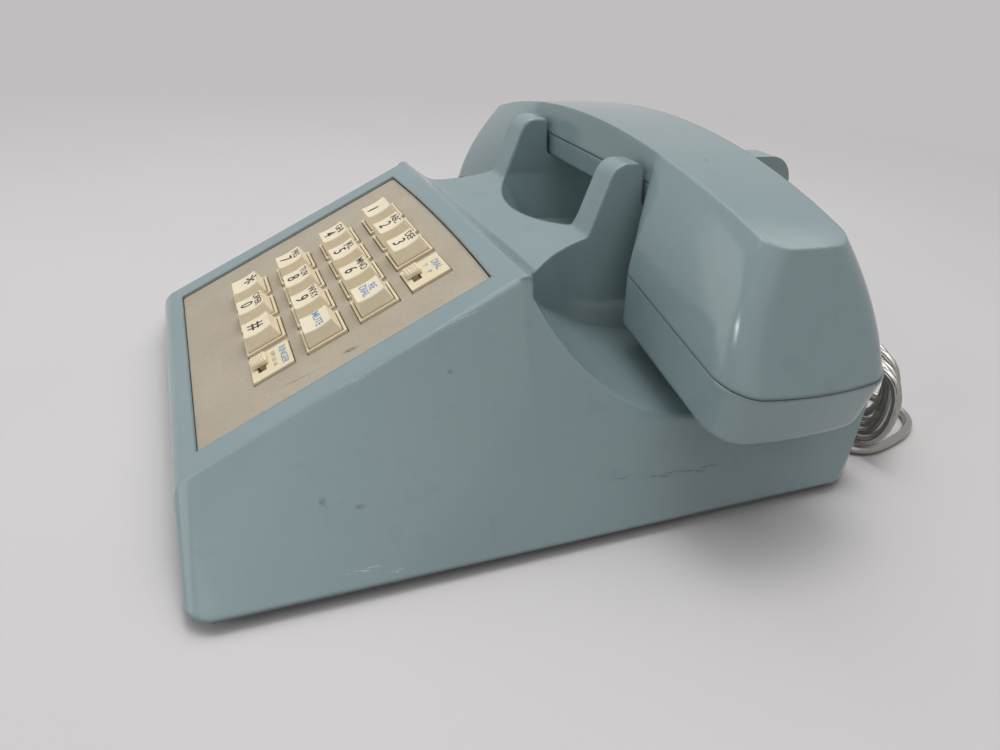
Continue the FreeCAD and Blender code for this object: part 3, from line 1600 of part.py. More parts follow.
makeScrews("board_screws", size("shortScrewLength"), boardSpots, pointsDown=True)
makeSounder()
makePlunger("hook_plunger_left", "-plungerX")
makePlunger("hook_plunger_right", "plungerX")
makeLever()
makePin()
makeBracket()
makeHookSwitch()
makeLeaf()
makeLineJack()
makeHandsetJack()
makeTopShell()
makeBottomShell()
makeCapsule("receiver_capsule", 1)
makeCapsule("transmitter_capsule", -1)
makeWeight()
makeCoilJack()
gripSpots = [(side * size("gripScrewX"), size("handsetY"), gripScrewSeat()) for side in (-1, 1)]
makeScrews("handset_screws", size("screwLength"), gripSpots)
makePlugs()
makeCord()
doc.recompute()

for item in doc.Objects:
    if "Invalid" in item.State or "Error" in item.State:
        raise RuntimeError("%s is %s" % (item.Label, item.State))
os.makedirs("parts", exist_ok=True)
for node in nodes:
    shape = node.Shape
    if shape.isNull() or not shape.isValid():
        raise RuntimeError("%s has no sound shape" % node.Label)
    shape.exportStep("parts/%s.step" % node.Label)
    print("%-22s %3d solids %10.0f mm3" % (node.Label, len(shape.Solids), shape.Volume))
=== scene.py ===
import json
import math

import bpy
from mathutils import Matrix, Vector


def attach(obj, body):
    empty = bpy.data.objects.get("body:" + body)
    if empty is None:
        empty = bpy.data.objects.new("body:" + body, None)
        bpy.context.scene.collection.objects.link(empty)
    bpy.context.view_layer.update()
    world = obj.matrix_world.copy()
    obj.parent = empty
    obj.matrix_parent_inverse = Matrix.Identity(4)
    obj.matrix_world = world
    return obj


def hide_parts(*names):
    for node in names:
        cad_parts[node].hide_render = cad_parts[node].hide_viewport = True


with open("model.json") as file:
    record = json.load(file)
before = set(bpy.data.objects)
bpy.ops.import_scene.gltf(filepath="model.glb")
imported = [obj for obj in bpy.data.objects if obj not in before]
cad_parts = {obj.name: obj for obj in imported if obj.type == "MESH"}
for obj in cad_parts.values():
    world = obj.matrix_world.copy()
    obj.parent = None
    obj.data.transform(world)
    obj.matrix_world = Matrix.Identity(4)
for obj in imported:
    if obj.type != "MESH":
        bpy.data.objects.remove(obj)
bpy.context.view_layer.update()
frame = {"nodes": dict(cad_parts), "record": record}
nodes = frame["nodes"]
mm = 0.001
scene = bpy.context.scene
scene.view_settings.view_transform = "Standard"
bpy.ops.object.select_all(action="DESELECT")
print("solids loaded:", len(nodes))


# the camera stands where the photograph was taken, low on the right, rolled a little; in mm
cameraView = {
    "place": (256.84, -101.27, 157.41),
    "right": (0.369093, 0.926748, 0.070067),
    "down": (0.469062, -0.120667, -0.874883),
    "ahead": (-0.802341, 0.355779, -0.479240),
    "lens": 27.424,
    "nearest": 10.0,
}


def makeCamera():
    bpy.ops.object.camera_add()
    camera = bpy.context.object
    camera.name = "photo_camera"
    right = Vector(cameraView["right"])
    up = -Vector(cameraView["down"])
    back = -Vector(cameraView["ahead"])
    turn = Matrix((right, up, back)).transposed().to_4x4()
    camera.matrix_world = Matrix.Translation(Vector(cameraView["place"]) * mm) @ turn
    camera.data.lens = cameraView["lens"]
    camera.data.clip_start = cameraView["nearest"] * mm
    scene.camera = camera


makeCamera()
print("camera placed")


# the line cord: a silver modular cord in a hank behind the housing, in mm
lineCord = {
    "diameter": 3.4,
    "exit": (-36, 108.5, 13.5),
    "lead": [(-36, 112, 13.5), (-36, 120.3, 13.2), (-29.3, 127, 11.5), (-18, 127, 8), (-4, 127, 2.4)],
    "hankMiddle": (42, 127, 17.4),
    "hankStep": (-3.4, 4.1, 0),
    "reach": 40,
    "half": 15,
    "sway": [(-2, 5), (-5, 4), (-2, 2), (-6, 0), (-3, 1), (-7, 0)],  # aside and up, one pair for each loop
    "tail": [(40, 160, 2), (58, 168.5, 2), (74, 167, 2), (82, 156, 2), (86, 143, 2), (88, 134, 2),
             (87.5, 126.5, 2), (81, 120, 2), (71, 118.8, 2), (52.8, 119.8, 3.3), (49.4, 119.8, 3.3)],
    "plugEnd": (46, 119.8, 3.3),
    "curveSteps": 6,
    "ridges": 10,
    "ridgePoints": 4,
    "ridgeDepth": 0.22,
    "smoothAngle": 70,
}


def hankCorners():
    corners = []
    middle = Vector(lineCord["hankMiddle"])
    step = Vector(lineCord["hankStep"])
    inner = Vector((lineCord["reach"] - lineCord["half"], 0, 0))
    outer = Vector((lineCord["reach"] + lineCord["half"], 0, 0))
    half = Vector((0, 0, lineCord["half"]))
    for aside, up in lineCord["sway"]:  # the right bend, a step back, then the left bend
        sway = Vector((aside, 0, 0))
        lift = Vector((0, 0, up))
        right = middle + outer + sway
        corners += [middle + inner - half, right - half + lift, right + half + lift, middle + inner + half]
        middle = middle + step
        corners += [middle - inner + half, middle - outer + half, middle - outer - half, middle - inner - half]
    return corners


def makeCordLine():
    points = [lineCord["exit"]] + lineCord["lead"] + hankCorners() + lineCord["tail"] + [lineCord["plugEnd"]]
    line = bpy.data.curves.new("line_cord_route", "CURVE")
    line.dimensions = "3D"
    line.resolution_u = lineCord["curveSteps"]
    spline = line.splines.new("NURBS")
    spline.points.add(len(points) - 1)
    for spot, place in zip(spline.points, points):
        spot.co = (place[0] * mm, place[1] * mm, place[2] * mm, 1)
    spline.order_u = 3
    spline.use_endpoint_u = True
    cord = bpy.data.objects.new("silver_line_cord", line)
    scene.collection.objects.link(cord)
    bpy.context.view_layer.update()
    return cord


def cordRoute(cord):
    routeMesh = bpy.data.meshes.new_from_object(cord)
    route = [vertex.co.copy() for vertex in routeMesh.vertices]
    bpy.data.meshes.remove(routeMesh)
    return route


def makeCordSection():  # a ring of low ridges round the cord
    section = bpy.data.curves.new("line_cord_section", "CURVE")
    section.dimensions = "2D"
    ring = section.splines.new("POLY")
    count = lineCord["ridges"] * lineCord["ridgePoints"]
    ring.points.add(count - 1)
    for i in range(count):
        turn = 2 * math.pi * i / count
        depth = lineCord["ridgeDepth"] * (1 - math.cos(turn * lineCord["ridges"])) / 2
        radius = (lineCord["diameter"] / 2 - depth) * mm
        ring.points[i].co = (radius * math.cos(turn), radius * math.sin(turn), 0, 1)
    ring.use_cyclic_u = True
    sectionObject = bpy.data.objects.new("line_cord_section", section)
    scene.collection.objects.link(sectionObject)
    return sectionObject


def makeCord():
    cord = makeCordLine()
    route = cordRoute(cord)
    section = makeCordSection()
    cord.data.bevel_mode = "OBJECT"
    cord.data.bevel_object = section
    cord.data.use_fill_caps = True
    bpy.ops.object.select_all(action="DESELECT")
    cord.select_set(True)
    bpy.context.view_layer.objects.active = cord
    bpy.ops.object.convert(target="MESH")
    bpy.data.objects.remove(section)
    bpy.ops.object.mode_set(mode="EDIT")
    bpy.ops.mesh.select_all(action="SELECT")
    bpy.ops.mesh.normals_make_consistent(inside=False)
    bpy.ops.object.mode_set(mode="OBJECT")
    bpy.ops.object.shade_smooth_by_angle(angle=math.radians(lineCord["smoothAngle"]))
    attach(cord, "telephone_base")
    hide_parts("line_cord")
    return cord


cord = makeCord()


def linear(hexColour):  # sRGB hex to linear
    values = [int(hexColour[i:i + 2], 16) / 255 for i in (1, 3, 5)]
    return [v / 12.92 if v <= 0.04045 else ((v + 0.055) / 1.055) ** 2.4 for v in values] + [1.0]


def addNode(tree, kind, settings, links=None):
    node = tree.nodes.new(kind)
    for name, value in settings.items():
        if isinstance(name, str) and hasattr(node, name):
            setattr(node, name, value)
    for name, value in settings.items():
        if not (isinstance(name, str) and hasattr(node, name)):
            node.inputs[name].default_value = value
    for name, source in (links or {}).items():
        tree.links.new(source, node.inputs[name])
    return node


def newMaterial(name, settings):
    material = bpy.data.materials.new(name)
    material.use_nodes = True
    tree = material.node_tree
    tree.nodes.clear()
    surface = addNode(tree, "ShaderNodeBsdfPrincipled", settings)
    addNode(tree, "ShaderNodeOutputMaterial", {}, {"Surface": surface.outputs[0]})
    place = addNode(tree, "ShaderNodeTexCoord", {}).outputs["Object"]
    return material, tree, surface, place


def scaleOf(size):  # noise scale for a pattern of this size in mm
    return 1 / (size * mm)


# dirt and painted shade where surfaces meet, darker the less open a place is: how open a place is where it starts
# and where it is full
dirtAndShadeSpread = {"samples": 6, "starts": 0.45, "full": 0.1}


# painted shade with dirt: darkens crevices, seams and gaps by how hidden they are from the open
def addDirtAndShade(tree, colour, finish):
    openness = addNode(tree, "ShaderNodeAmbientOcclusion", {"samples": dirtAndShadeSpread["samples"],
                                                            "Distance": finish["dirtAndShadeReach"] * mm})
    amount = addNode(tree, "ShaderNodeMapRange", {"From Min": dirtAndShadeSpread["starts"], "From Max": dirtAndShadeSpread["full"],
                                                  "To Max": finish["dirtAndShadeMost"]}, {"Value": openness.outputs["AO"]})
    mixed = addNode(tree, "ShaderNodeMix", {"data_type": "RGBA", 7: linear(finish["dirtAndShade"])},
                    {0: amount.outputs[0], 6: colour})
    return mixed.outputs[2]


# one mark of wear: broken strokes of another colour within a stretched ball
markEdge = {"full": 0.2, "soft": 0.12}


def addMark(tree, place, colour, mark):
    middle = [value * mm for value in mark["place"]]
    turn = [math.radians(value) for value in mark["turn"]]
    scale = [scaleOf(value) for value in mark["size"]]
    fromMiddle = addNode(tree, "ShaderNodeVectorMath", {"operation": "SUBTRACT", 1: middle}, {0: place})
    turned = addNode(tree, "ShaderNodeVectorRotate", {"rotation_type": "EULER_XYZ", "Rotation": turn},
                     {"Vector": fromMiddle.outputs[0]})
    within = addNode(tree, "ShaderNodeVectorMath", {"operation": "MULTIPLY", 1: scale}, {0: turned.outputs[0]})
    distance = addNode(tree, "ShaderNodeVectorMath", {"operation": "LENGTH"}, {0: within.outputs[0]})
    fade = addNode(tree, "ShaderNodeMapRange", {"From Min": 1.0, "From Max": markEdge["full"], "To Max": 1.0},
                   {"Value": distance.outputs["Value"]})
    strokes = addNode(tree, "ShaderNodeTexNoise", {"Scale": mark["strokes"], "Detail": 5.0, "Roughness": 0.7},
                      {"Vector": within.outputs[0]})
    broken = addNode(tree, "ShaderNodeMapRange", {"From Min": mark["cut"],
                                                  "From Max": mark["cut"] + markEdge["soft"],
                                                  "To Max": mark["strength"]}, {"Value": strokes.outputs[0]})
    amount = addNode(tree, "ShaderNodeMath", {"operation": "MULTIPLY"},
                     {0: fade.outputs[0], 1: broken.outputs[0]})
    mixed = addNode(tree, "ShaderNodeMix", {"data_type": "RGBA", 7: linear(mark["colour"])},
                    {0: amount.outputs[0], 6: colour})
    return mixed.outputs[2]


# where the wear is: place and half sizes in mm, turn in degrees
darkRub = {"turn": (0, 0, 0), "strokes": 2.2, "cut": 0.5, "strength": 0.7, "colour": "#4b4546"}
paleNick = {"turn": (0, 0, 0), "strokes": 2.6, "cut": 0.52, "strength": 0.85, "colour": "#d3dada"}
speck = {"turn": (0, 0, 0), "strokes": 1.6, "cut": 0.4, "strength": 0.5, "colour": "#41474a"}
housingMarks = [
    dict(darkRub, place=(97.3, 27, 18.0), size=(6, 11, 1.2)),
    dict(darkRub, place=(97.6, 40, 17.8), size=(6, 12, 1.7)),
    dict(darkRub, place=(96.4, 13, 19.2), size=(6, 6, 0.8)),
    dict(paleNick, place=(100.4, -69, 8.0), size=(6, 8, 0.8)),
    dict(paleNick, place=(101.9, -59.6, 6.4), size=(5, 3.5, 0.6)),
    dict(paleNick, place=(68.4, -32, 65.4), size=(1.4, 13, 1.4), turn=(-28, 0, 0), strokes=3.2),
    dict(paleNick, place=(68.4, -62, 49.6), size=(1.4, 10, 1.4), turn=(-28, 0, 0), strokes=3.2),
    dict(speck, place=(86.5, -76.2, 22.6), size=(2.4, 1.5, 1.3)),
    dict(speck, place=(89.8, -66.4, 21.1), size=(2.4, 2.2, 0.8)),
    dict(speck, place=(75.0, -36.4, 52.0), size=(2.0, 1.3, 1.0)),
]
handsetMarks = [
    dict(speck, place=(52.0, 56, 105.0), size=(2.4, 0.8, 3.0), turn=(0, 0, 25)),
    dict(speck, place=(113.0, 52, 78.0), size=(2.0, 1.0, 0.8)),
]
plateMarks = [
    dict(darkRub, place=(50.7, -60.2, 49.9), size=(1.3, 3.6, 3.0), turn=(-28, 0, 20), cut=0.4, strength=0.9),
    dict(darkRub, place=(50.0, -76.0, 41.6), size=(0.7, 8.0, 3.0), turn=(-28, 0, 12), cut=0.44, strength=0.6),
]

# colours and wear of the grey-blue mouldings; sizes in mm
shellFinish = {
    "light": "#8fa2a5",
    "deep": "#85989b",
    "grime": "#5b6668",
    # the dark of dust and painted shade in the seams and low places
    "dirtAndShade": "#2d3133",
    "dirtAndShadeReach": 1.2,
    "dirtAndShadeMost": 0.85,
    "mottle": 60.0,
    "handling": 9.0,
    "smear": {"From Min": 0.56, "From Max": 0.78, "To Max": 0.14},
    "gloss": {"From Min": 0.3, "From Max": 0.8, "To Min": 0.1, "To Max": 0.2},
    "peel": 3.0,
    "peelStrength": 0.02,
    "peelDepth": 0.02,
    "edge": 1.5,
}


# injection-moulded ABS, polished tool: an even grey-blue with soft clear reflections,
# a faint ripple from the mould, and dust with painted shade in the low places
def makeShellMaterial(name, marks):
    material, tree, surface, place = newMaterial(name, {"IOR": 1.53})
    mottle = addNode(tree, "ShaderNodeTexNoise", {"Scale": scaleOf(shellFinish["mottle"]), "Detail": 4.0},
                     {"Vector": place})
    tone = addNode(tree, "ShaderNodeMix", {"data_type": "RGBA", 6: linear(shellFinish["deep"]),
                                           7: linear(shellFinish["light"])}, {0: mottle.outputs[0]})
    handling = addNode(tree, "ShaderNodeTexNoise", {"Scale": scaleOf(shellFinish["handling"]), "Detail": 6.0,
                                                    "Roughness": 0.7}, {"Vector": place})
    smear = addNode(tree, "ShaderNodeMapRange", shellFinish["smear"], {"Value": handling.outputs[0]})
    handled = addNode(tree, "ShaderNodeMix", {"data_type": "RGBA", 7: linear(shellFinish["grime"])},
                      {0: smear.outputs[0], 6: tone.outputs[2]})
    # painted shade with dust: darker in the seams and low places, by how hidden they are
    colour = addDirtAndShade(tree, handled.outputs[2], shellFinish)
    for mark in marks:
        colour = addMark(tree, place, colour, mark)
    tree.links.new(colour, surface.inputs["Base Color"])
    gloss = addNode(tree, "ShaderNodeMapRange", shellFinish["gloss"], {"Value": handling.outputs[0]})
    tree.links.new(gloss.outputs[0], surface.inputs["Roughness"])
    edge = addNode(tree, "ShaderNodeBevel", {"samples": 6, "Radius": shellFinish["edge"] * mm})
    peel = addNode(tree, "ShaderNodeTexNoise", {"Scale": scaleOf(shellFinish["peel"]), "Detail": 2.0},
                   {"Vector": place})
    bump = addNode(tree, "ShaderNodeBump", {"Strength": shellFinish["peelStrength"],
                                            "Distance": shellFinish["peelDepth"] * mm},
                   {"Height": peel.outputs[0], "Normal": edge.outputs[0]})
    tree.links.new(bump.outputs[0], surface.inputs["Normal"])
    return material


housingMaterial = makeShellMaterial("moulded_abs_housing", housingMarks)
handsetMaterial = makeShellMaterial("moulded_abs_handset", handsetMarks)


# the real grain is finer than this; it is drawn as coarse as it needs to show
plateFinish = {
    "light": "#c6bba8",
    "deep": "#988d7b",
    "stain": "#7b7160",
    # the dark of dirt and painted shade in the gap round the plate and the collars
    "dirtAndShade": "#2a2622",
    "dirtAndShadeReach": 1.6,
    "dirtAndShadeMost": 0.9,
    "roughness": 0.62,
    "grain": 0.8,
    "grainShare": 0.5,
    "grainStrength": 0.6,
    "grainDepth": 0.06,
    "cloud": 18.0,
    "cloudShare": 0.5,
    "spot": 2.2,
    "specks": {"From Min": 0.57, "From Max": 0.72, "To Max": 0.5},
    "edge": 0.25,
}


# spark-eroded ABS panel: matt stone colour, a fine grain that breaks the light
def makePlateMaterial():
    material, tree, surface, place = newMaterial("textured_abs_faceplate",
                                                 {"IOR": 1.53, "Roughness": plateFinish["roughness"]})
    grain = addNode(tree, "ShaderNodeTexNoise", {"Scale": scaleOf(plateFinish["grain"]), "Detail": 3.0},
                    {"Vector": place})
    cloud = addNode(tree, "ShaderNodeTexNoise", {"Scale": scaleOf(plateFinish["cloud"]), "Detail": 5.0},
                    {"Vector": place})
    clouded = addNode(tree, "ShaderNodeMath", {"operation": "MULTIPLY", 1: plateFinish["cloudShare"]},
                      {0: cloud.outputs[0]})
    blend = addNode(tree, "ShaderNodeMath", {"operation": "MULTIPLY_ADD", 1: plateFinish["grainShare"]},
                    {0: grain.outputs[0], 2: clouded.outputs[0]})
    tone = addNode(tree, "ShaderNodeMix", {"data_type": "RGBA", 6: linear(plateFinish["deep"]),
                                           7: linear(plateFinish["light"])}, {0: blend.outputs[0]})
    spots = addNode(tree, "ShaderNodeTexNoise", {"Scale": scaleOf(plateFinish["spot"]), "Detail": 6.0,
                                                 "Roughness": 0.8}, {"Vector": place})
    specks = addNode(tree, "ShaderNodeMapRange", plateFinish["specks"], {"Value": spots.outputs[0]})
    stained = addNode(tree, "ShaderNodeMix", {"data_type": "RGBA", 7: linear(plateFinish["stain"])},
                      {0: specks.outputs[0], 6: tone.outputs[2]})
    # painted shade with dirt: darker in the gap round the plate and at the collars, by how hidden they are
    colour = addDirtAndShade(tree, stained.outputs[2], plateFinish)
    for mark in plateMarks:
        colour = addMark(tree, place, colour, mark)
    tree.links.new(colour, surface.inputs["Base Color"])
    edge = addNode(tree, "ShaderNodeBevel", {"samples": 4, "Radius": plateFinish["edge"] * mm})
    bump = addNode(tree, "ShaderNodeBump", {"Strength": plateFinish["grainStrength"],
                                            "Distance": plateFinish["grainDepth"] * mm},
                   {"Height": grain.outputs[0], "Normal": edge.outputs[0]})
    tree.links.new(bump.outputs[0], surface.inputs["Normal"])
    return material


plateMaterial = makePlateMaterial()

# keys, and the frame whose collars stand round them; sizes in mm
keyFinish = {
    "light": "#f7ebd0",
    "deep": "#ecdebf",
    "roughness": 0.36,
    "worn": "#d8c69c",
    # the dark of grime and painted shade where a key meets its collar
    "dirtAndShade": "#4a3d28",
    "dirtAndShadeReach": 0.8,
    "dirtAndShadeMost": 0.6,
    "cloud": 5.0,
    "spot": 1.4,
    "stain": {"From Min": 0.62, "From Max": 0.8, "To Max": 0.35},
    "spotStrength": 0.08,
    "spotDepth": 0.03,
    "edge": 0.3,
}
collarFinish = dict(keyFinish, light="#f0e2c2", deep="#e4d5b1", roughness=0.42)


# double-shot moulded ABS: cream, satin, a little yellowed and handled
def makeKeyMaterial(name, finish):
    material, tree, surface, place = newMaterial(name, {"IOR": 1.53, "Roughness": finish["roughness"]})
    cloud = addNode(tree, "ShaderNodeTexNoise", {"Scale": scaleOf(finish["cloud"]), "Detail": 4.0},
                    {"Vector": place})
    tone = addNode(tree, "ShaderNodeMix", {"data_type": "RGBA", 6: linear(finish["deep"]),
                                           7: linear(finish["light"])}, {0: cloud.outputs[0]})
    spots = addNode(tree, "ShaderNodeTexNoise", {"Scale": scaleOf(finish["spot"]), "Detail": 6.0,
                                                 "Roughness": 0.75}, {"Vector": place})
    stain = addNode(tree, "ShaderNodeMapRange", finish["stain"], {"Value": spots.outputs[0]})
    worn = addNode(tree, "ShaderNodeMix", {"data_type": "RGBA", 7: linear(finish["worn"])},
                   {0: stain.outputs[0], 6: tone.outputs[2]})
    # painted shade with grime: darker where the key meets its collar, by how hidden it is
    tree.links.new(addDirtAndShade(tree, worn.outputs[2], finish), surface.inputs["Base Color"])
    edge = addNode(tree, "ShaderNodeBevel", {"samples": 4, "Radius": finish["edge"] * mm})
    bump = addNode(tree, "ShaderNodeBump", {"Strength": finish["spotStrength"],
                                            "Distance": finish["spotDepth"] * mm},
                   {"Height": spots.outputs[0], "Normal": edge.outputs[0]})
    tree.links.new(bump.outputs[0], surface.inputs["Normal"])
    return material


keyMaterial = makeKeyMaterial("moulded_cream_keys", keyFinish)
frameMaterial = makeKeyMaterial("moulded_cream_frame", collarFinish)

# inks: tone, faded tone
inks = {
    "moulded_black_lettering": ("#17181a", "#2c2c2c"),
    "printed_blue_lettering": ("#3f86ba", "#6fa0c0"),
    "printed_grey_lettering": ("#8d8f88", "#a8a79b"),
}
inkRub = 0.8  # mm


# printed and moulded-in inks: flat, slightly broken where fingers rub
def makeInk(name):
    colour, faded = inks[name]
    material, tree, surface, place = newMaterial(name, {"IOR": 1.5, "Roughness": 0.45})
    rub = addNode(tree, "ShaderNodeTexNoise", {"Scale": scaleOf(inkRub), "Detail": 4.0}, {"Vector": place})
    tone = addNode(tree, "ShaderNodeMix", {"data_type": "RGBA", 6: linear(colour), 7: linear(faded)},
                   {0: rub.outputs[0]})
    tree.links.new(tone.outputs[2], surface.inputs["Base Color"])
    return material


blackInk = makeInk("moulded_black_lettering")
blueInk = makeInk("printed_blue_lettering")
greyInk = makeInk("printed_grey_lettering")


# pieces inside and underneath: name, two tones, roughness, metallic, pattern size in mm
plainFinishes = {
    "dark_plastic": ("moulded_black_abs", "#1d1e1f", "#292a2b", 0.5, 0.0, 1.2),
    "board": ("solder_masked_board", "#1f5a3a", "#2d6b48", 0.35, 0.0, 2.5),
    "rubber": ("moulded_black_rubber", "#151515", "#242423", 0.8, 0.0, 0.6),
    "steel": ("zinc_plated_steel", "#a9abac", "#c2c3c2", 0.32, 1.0, 3.0),
    "contact": ("gold_plated_contact", "#c79a45", "#d9b462", 0.25, 1.0, 0.8),
    "weight": ("cast_zinc_weight", "#7c7e80", "#96989a", 0.5, 1.0, 1.5),
    "clear_plastic": ("moulded_clear_polycarbonate", "#d9dcda", "#cfd4d3", 0.12, 0.0, 4.0),
}
plainGrain = {"glossSpread": 0.06, "edge": 0.2, "strength": 0.1, "depth": 0.05}
clearPlastic = {"Transmission Weight": 0.8, "IOR": 1.58}


# one finish for each: a base tone broken by its own grain, sharper or duller in places
def makePlainMaterial(slot):
    name, deep, light, roughness, metallic, grain = plainFinishes[slot]
    settings = dict(clearPlastic if slot == "clear_plastic" else {}, Metallic=metallic)
    material, tree, surface, place = newMaterial(name, settings)
    pattern = addNode(tree, "ShaderNodeTexNoise", {"Scale": scaleOf(grain), "Detail": 5.0}, {"Vector": place})
    tone = addNode(tree, "ShaderNodeMix", {"data_type": "RGBA", 6: linear(deep), 7: linear(light)},
                   {0: pattern.outputs[0]})
    tree.links.new(tone.outputs[2], surface.inputs["Base Color"])
    gloss = addNode(tree, "ShaderNodeMapRange", {"To Min": roughness - plainGrain["glossSpread"],
                                                 "To Max": roughness + plainGrain["glossSpread"]},
                    {"Value": pattern.outputs[0]})
    tree.links.new(gloss.outputs[0], surface.inputs["Roughness"])
    edge = addNode(tree, "ShaderNodeBevel", {"samples": 4, "Radius": plainGrain["edge"] * mm})
    bump = addNode(tree, "ShaderNodeBump", {"Strength": plainGrain["strength"],
                                            "Distance": plainGrain["depth"] * mm},
                   {"Height": pattern.outputs[0], "Normal": edge.outputs[0]})
    tree.links.new(bump.outputs[0], surface.inputs["Normal"])
    return material


finishes = {slot: makePlainMaterial(slot) for slot in plainFinishes}
finishes.update({"housing": housingMaterial, "handset": handsetMaterial, "faceplate": plateMaterial,
                 "keys": keyMaterial, "keypad_frame": frameMaterial})

# the real flake is finer than this; it is drawn as coarse as it needs to show
cordFinish = {"deep": "#8b8883", "light": "#c4c1bb", "metallic": 0.85, "roughness": 0.2, "flake": 0.5}


# extruded PVC with metal flake: silver grey, satin, bright along each ridge
def makeCordMaterial():
    material, tree, surface, place = newMaterial("extruded_silver_pvc", {"Metallic": cordFinish["metallic"],
                                                                         "Roughness": cordFinish["roughness"]})
    flake = addNode(tree, "ShaderNodeTexNoise", {"Scale": scaleOf(cordFinish["flake"]), "Detail": 3.0},
                    {"Vector": place})
    tone = addNode(tree, "ShaderNodeMix", {"data_type": "RGBA", 6: linear(cordFinish["deep"]),
                                           7: linear(cordFinish["light"])}, {0: flake.outputs[0]})
    tree.links.new(tone.outputs[2], surface.inputs["Base Color"])
    return material


cord.data.materials.clear()
cord.data.materials.append(makeCordMaterial())

slotOf = {part["node"]: part["material_slot"] for part in frame["record"]["subparts"]}
for name, node in nodes.items():
    if name != "line_cord":
        node.data.materials.clear()
        node.data.materials.append(finishes[slotOf[name]])
print("finishes given to", len(slotOf), "solids")


# the sloping face: across (u), up the slope (v) and out of it (n), in mm; cells count from its front left
face = {
    "y": -61.8,
    "z": 49.1,
    "tilt": 28.0,
    "pitch": 19.05,
    "firstU": -25.0,
    "firstV": -22.4,
    "switchColumn": 3,
}


def faceMatrix(u, v, n):
    tilt = math.radians(face["tilt"])
    across = Vector((1, 0, 0))
    upSlope = Vector((0, math.cos(tilt), math.sin(tilt)))
    out = Vector((0, -math.sin(tilt), math.cos(tilt)))
    place = Vector((0, face["y"], face["z"])) + across * u + upSlope * v + out * n
    turn = Matrix((across, upSlope, out)).transposed().to_4x4()
    return Matrix.Translation(place * mm) @ turn


def cell(column, row):
    return face["firstU"] + face["pitch"] * column, face["firstV"] + face["pitch"] * row


# lettering: cap heights, places up the key and strokes, in mm
lettering = {
    "digit": 4.6,
    "digitV": -1.5,
    "signShare": {"*": 1.9, "#": 1.2},
    "group": 2.7,
    "groupV": 2.9,
    "word": 2.6,
    "stroke": 0.05,
    "fineStroke": 0.025,
    "capShare": 0.69,
    "lineShare": 0.8,
    "curveSteps": 4,
    "depth": 0.05,
}
keyTop = {"slot": "keys", "height": 5.5, "dishRound": 24.0}  # dished along the slope
switchPanel = {"slot": "keypad_frame", "height": 0.9, "dishRound": None}


def makeWords(name, text, capHeight, spot, surface, material, body, stroke=lettering["fineStroke"]):
    u, v, offsetV = spot
    bpy.ops.object.select_all(action="DESELECT")
    bpy.ops.object.text_add()
    words = bpy.context.object
    words.name = name
    words.data.body = text
    words.data.size = capHeight / lettering["capShare"] * mm
    words.data.align_x = "CENTER"
    words.data.align_y = "CENTER"
    words.data.resolution_u = lettering["curveSteps"]
    words.data.extrude = lettering["depth"] * mm
    words.data.space_line = lettering["lineShare"]
    words.data.offset = stroke * mm
    bpy.ops.object.convert(target="MESH")
    for vertex in words.data.vertices:
        vertex.co.y += offsetV * mm
        if surface["dishRound"]:
            vertex.co.z += vertex.co.y ** 2 / (2 * surface["dishRound"] * mm)
    words.data.transform(faceMatrix(u, v, surface["height"]))
    words.data.materials.clear()
    words.data.materials.append(material)
    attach(words, body)


# dial keys: digit, letters, column, row
keyWords = {
    "key_1": ("1", "", 0, 3), "key_2": ("2", "ABC", 1, 3), "key_3": ("3", "DEF", 2, 3),
    "key_4": ("4", "GHI", 0, 2), "key_5": ("5", "JKL", 1, 2), "key_6": ("6", "MNO", 2, 2),
    "key_7": ("7", "PRS", 0, 1), "key_8": ("8", "TUV", 1, 1), "key_9": ("9", "WXY", 2, 1),
    "key_star": ("*", "", 0, 0), "key_0": ("0", "OPER", 1, 0), "key_hash": ("#", "", 2, 0),
}
# blue-lettered keys above the ringer switch: word, place up the key, row
blueKeyWords = {"key_redial": ("RE\nDIAL", 0.4, 2), "key_mute": ("MUTE", 0.6, 1)}
# words by the slides: name, word, cap height, place across and up, ink, row
switchWords = [
    ("tone_word", "DIAL", 2.4, 0.0, 4.6, blueInk, 3),
    ("tone_mark", "T", 1.8, -3.2, 1.2, blueInk, 3),
    ("pulse_mark", "P", 1.8, 2.2, 1.2, blueInk, 3),
    ("ringer_word", "RINGER", 2.3, 0.0, 4.6, blueInk, 0),
    ("ringer_off", "OFF", 1.4, -3.8, 1.2, greyInk, 0),
    ("ringer_lo", "LO", 1.4, 0.0, 1.2, greyInk, 0),
    ("ringer_hi", "HI", 1.4, 3.4, 1.2, greyInk, 0),
]


def letterKeys():
    for key, (digit, group, column, row) in keyWords.items():
        u, v = cell(column, row)
        size = lettering["digit"] * lettering["signShare"].get(digit, 1.0)
        offsetV = 0.0 if digit in lettering["signShare"] else lettering["digitV"]
        makeWords(key + "_digit", digit, size, (u, v, offsetV), keyTop, blackInk, key + "_cap",
                  lettering["stroke"])
        if group:
            makeWords(key + "_letters", group, lettering["group"], (u, v, lettering["groupV"]), keyTop, blackInk,
                      key + "_cap")
    for key, (word, offsetV, row) in blueKeyWords.items():
        u, v = cell(face["switchColumn"], row)
        makeWords(key + "_word", word, lettering["word"], (u, v, offsetV), keyTop, blueInk, key + "_cap")


def letterSwitches():
    for name, word, size, across, offsetV, ink, row in switchWords:
        u, v = cell(face["switchColumn"], row)
        makeWords(name, word, size, (u + across, v, offsetV), switchPanel, ink, "telephone_base")


letterKeys()
letterSwitches()
print("lettering set")


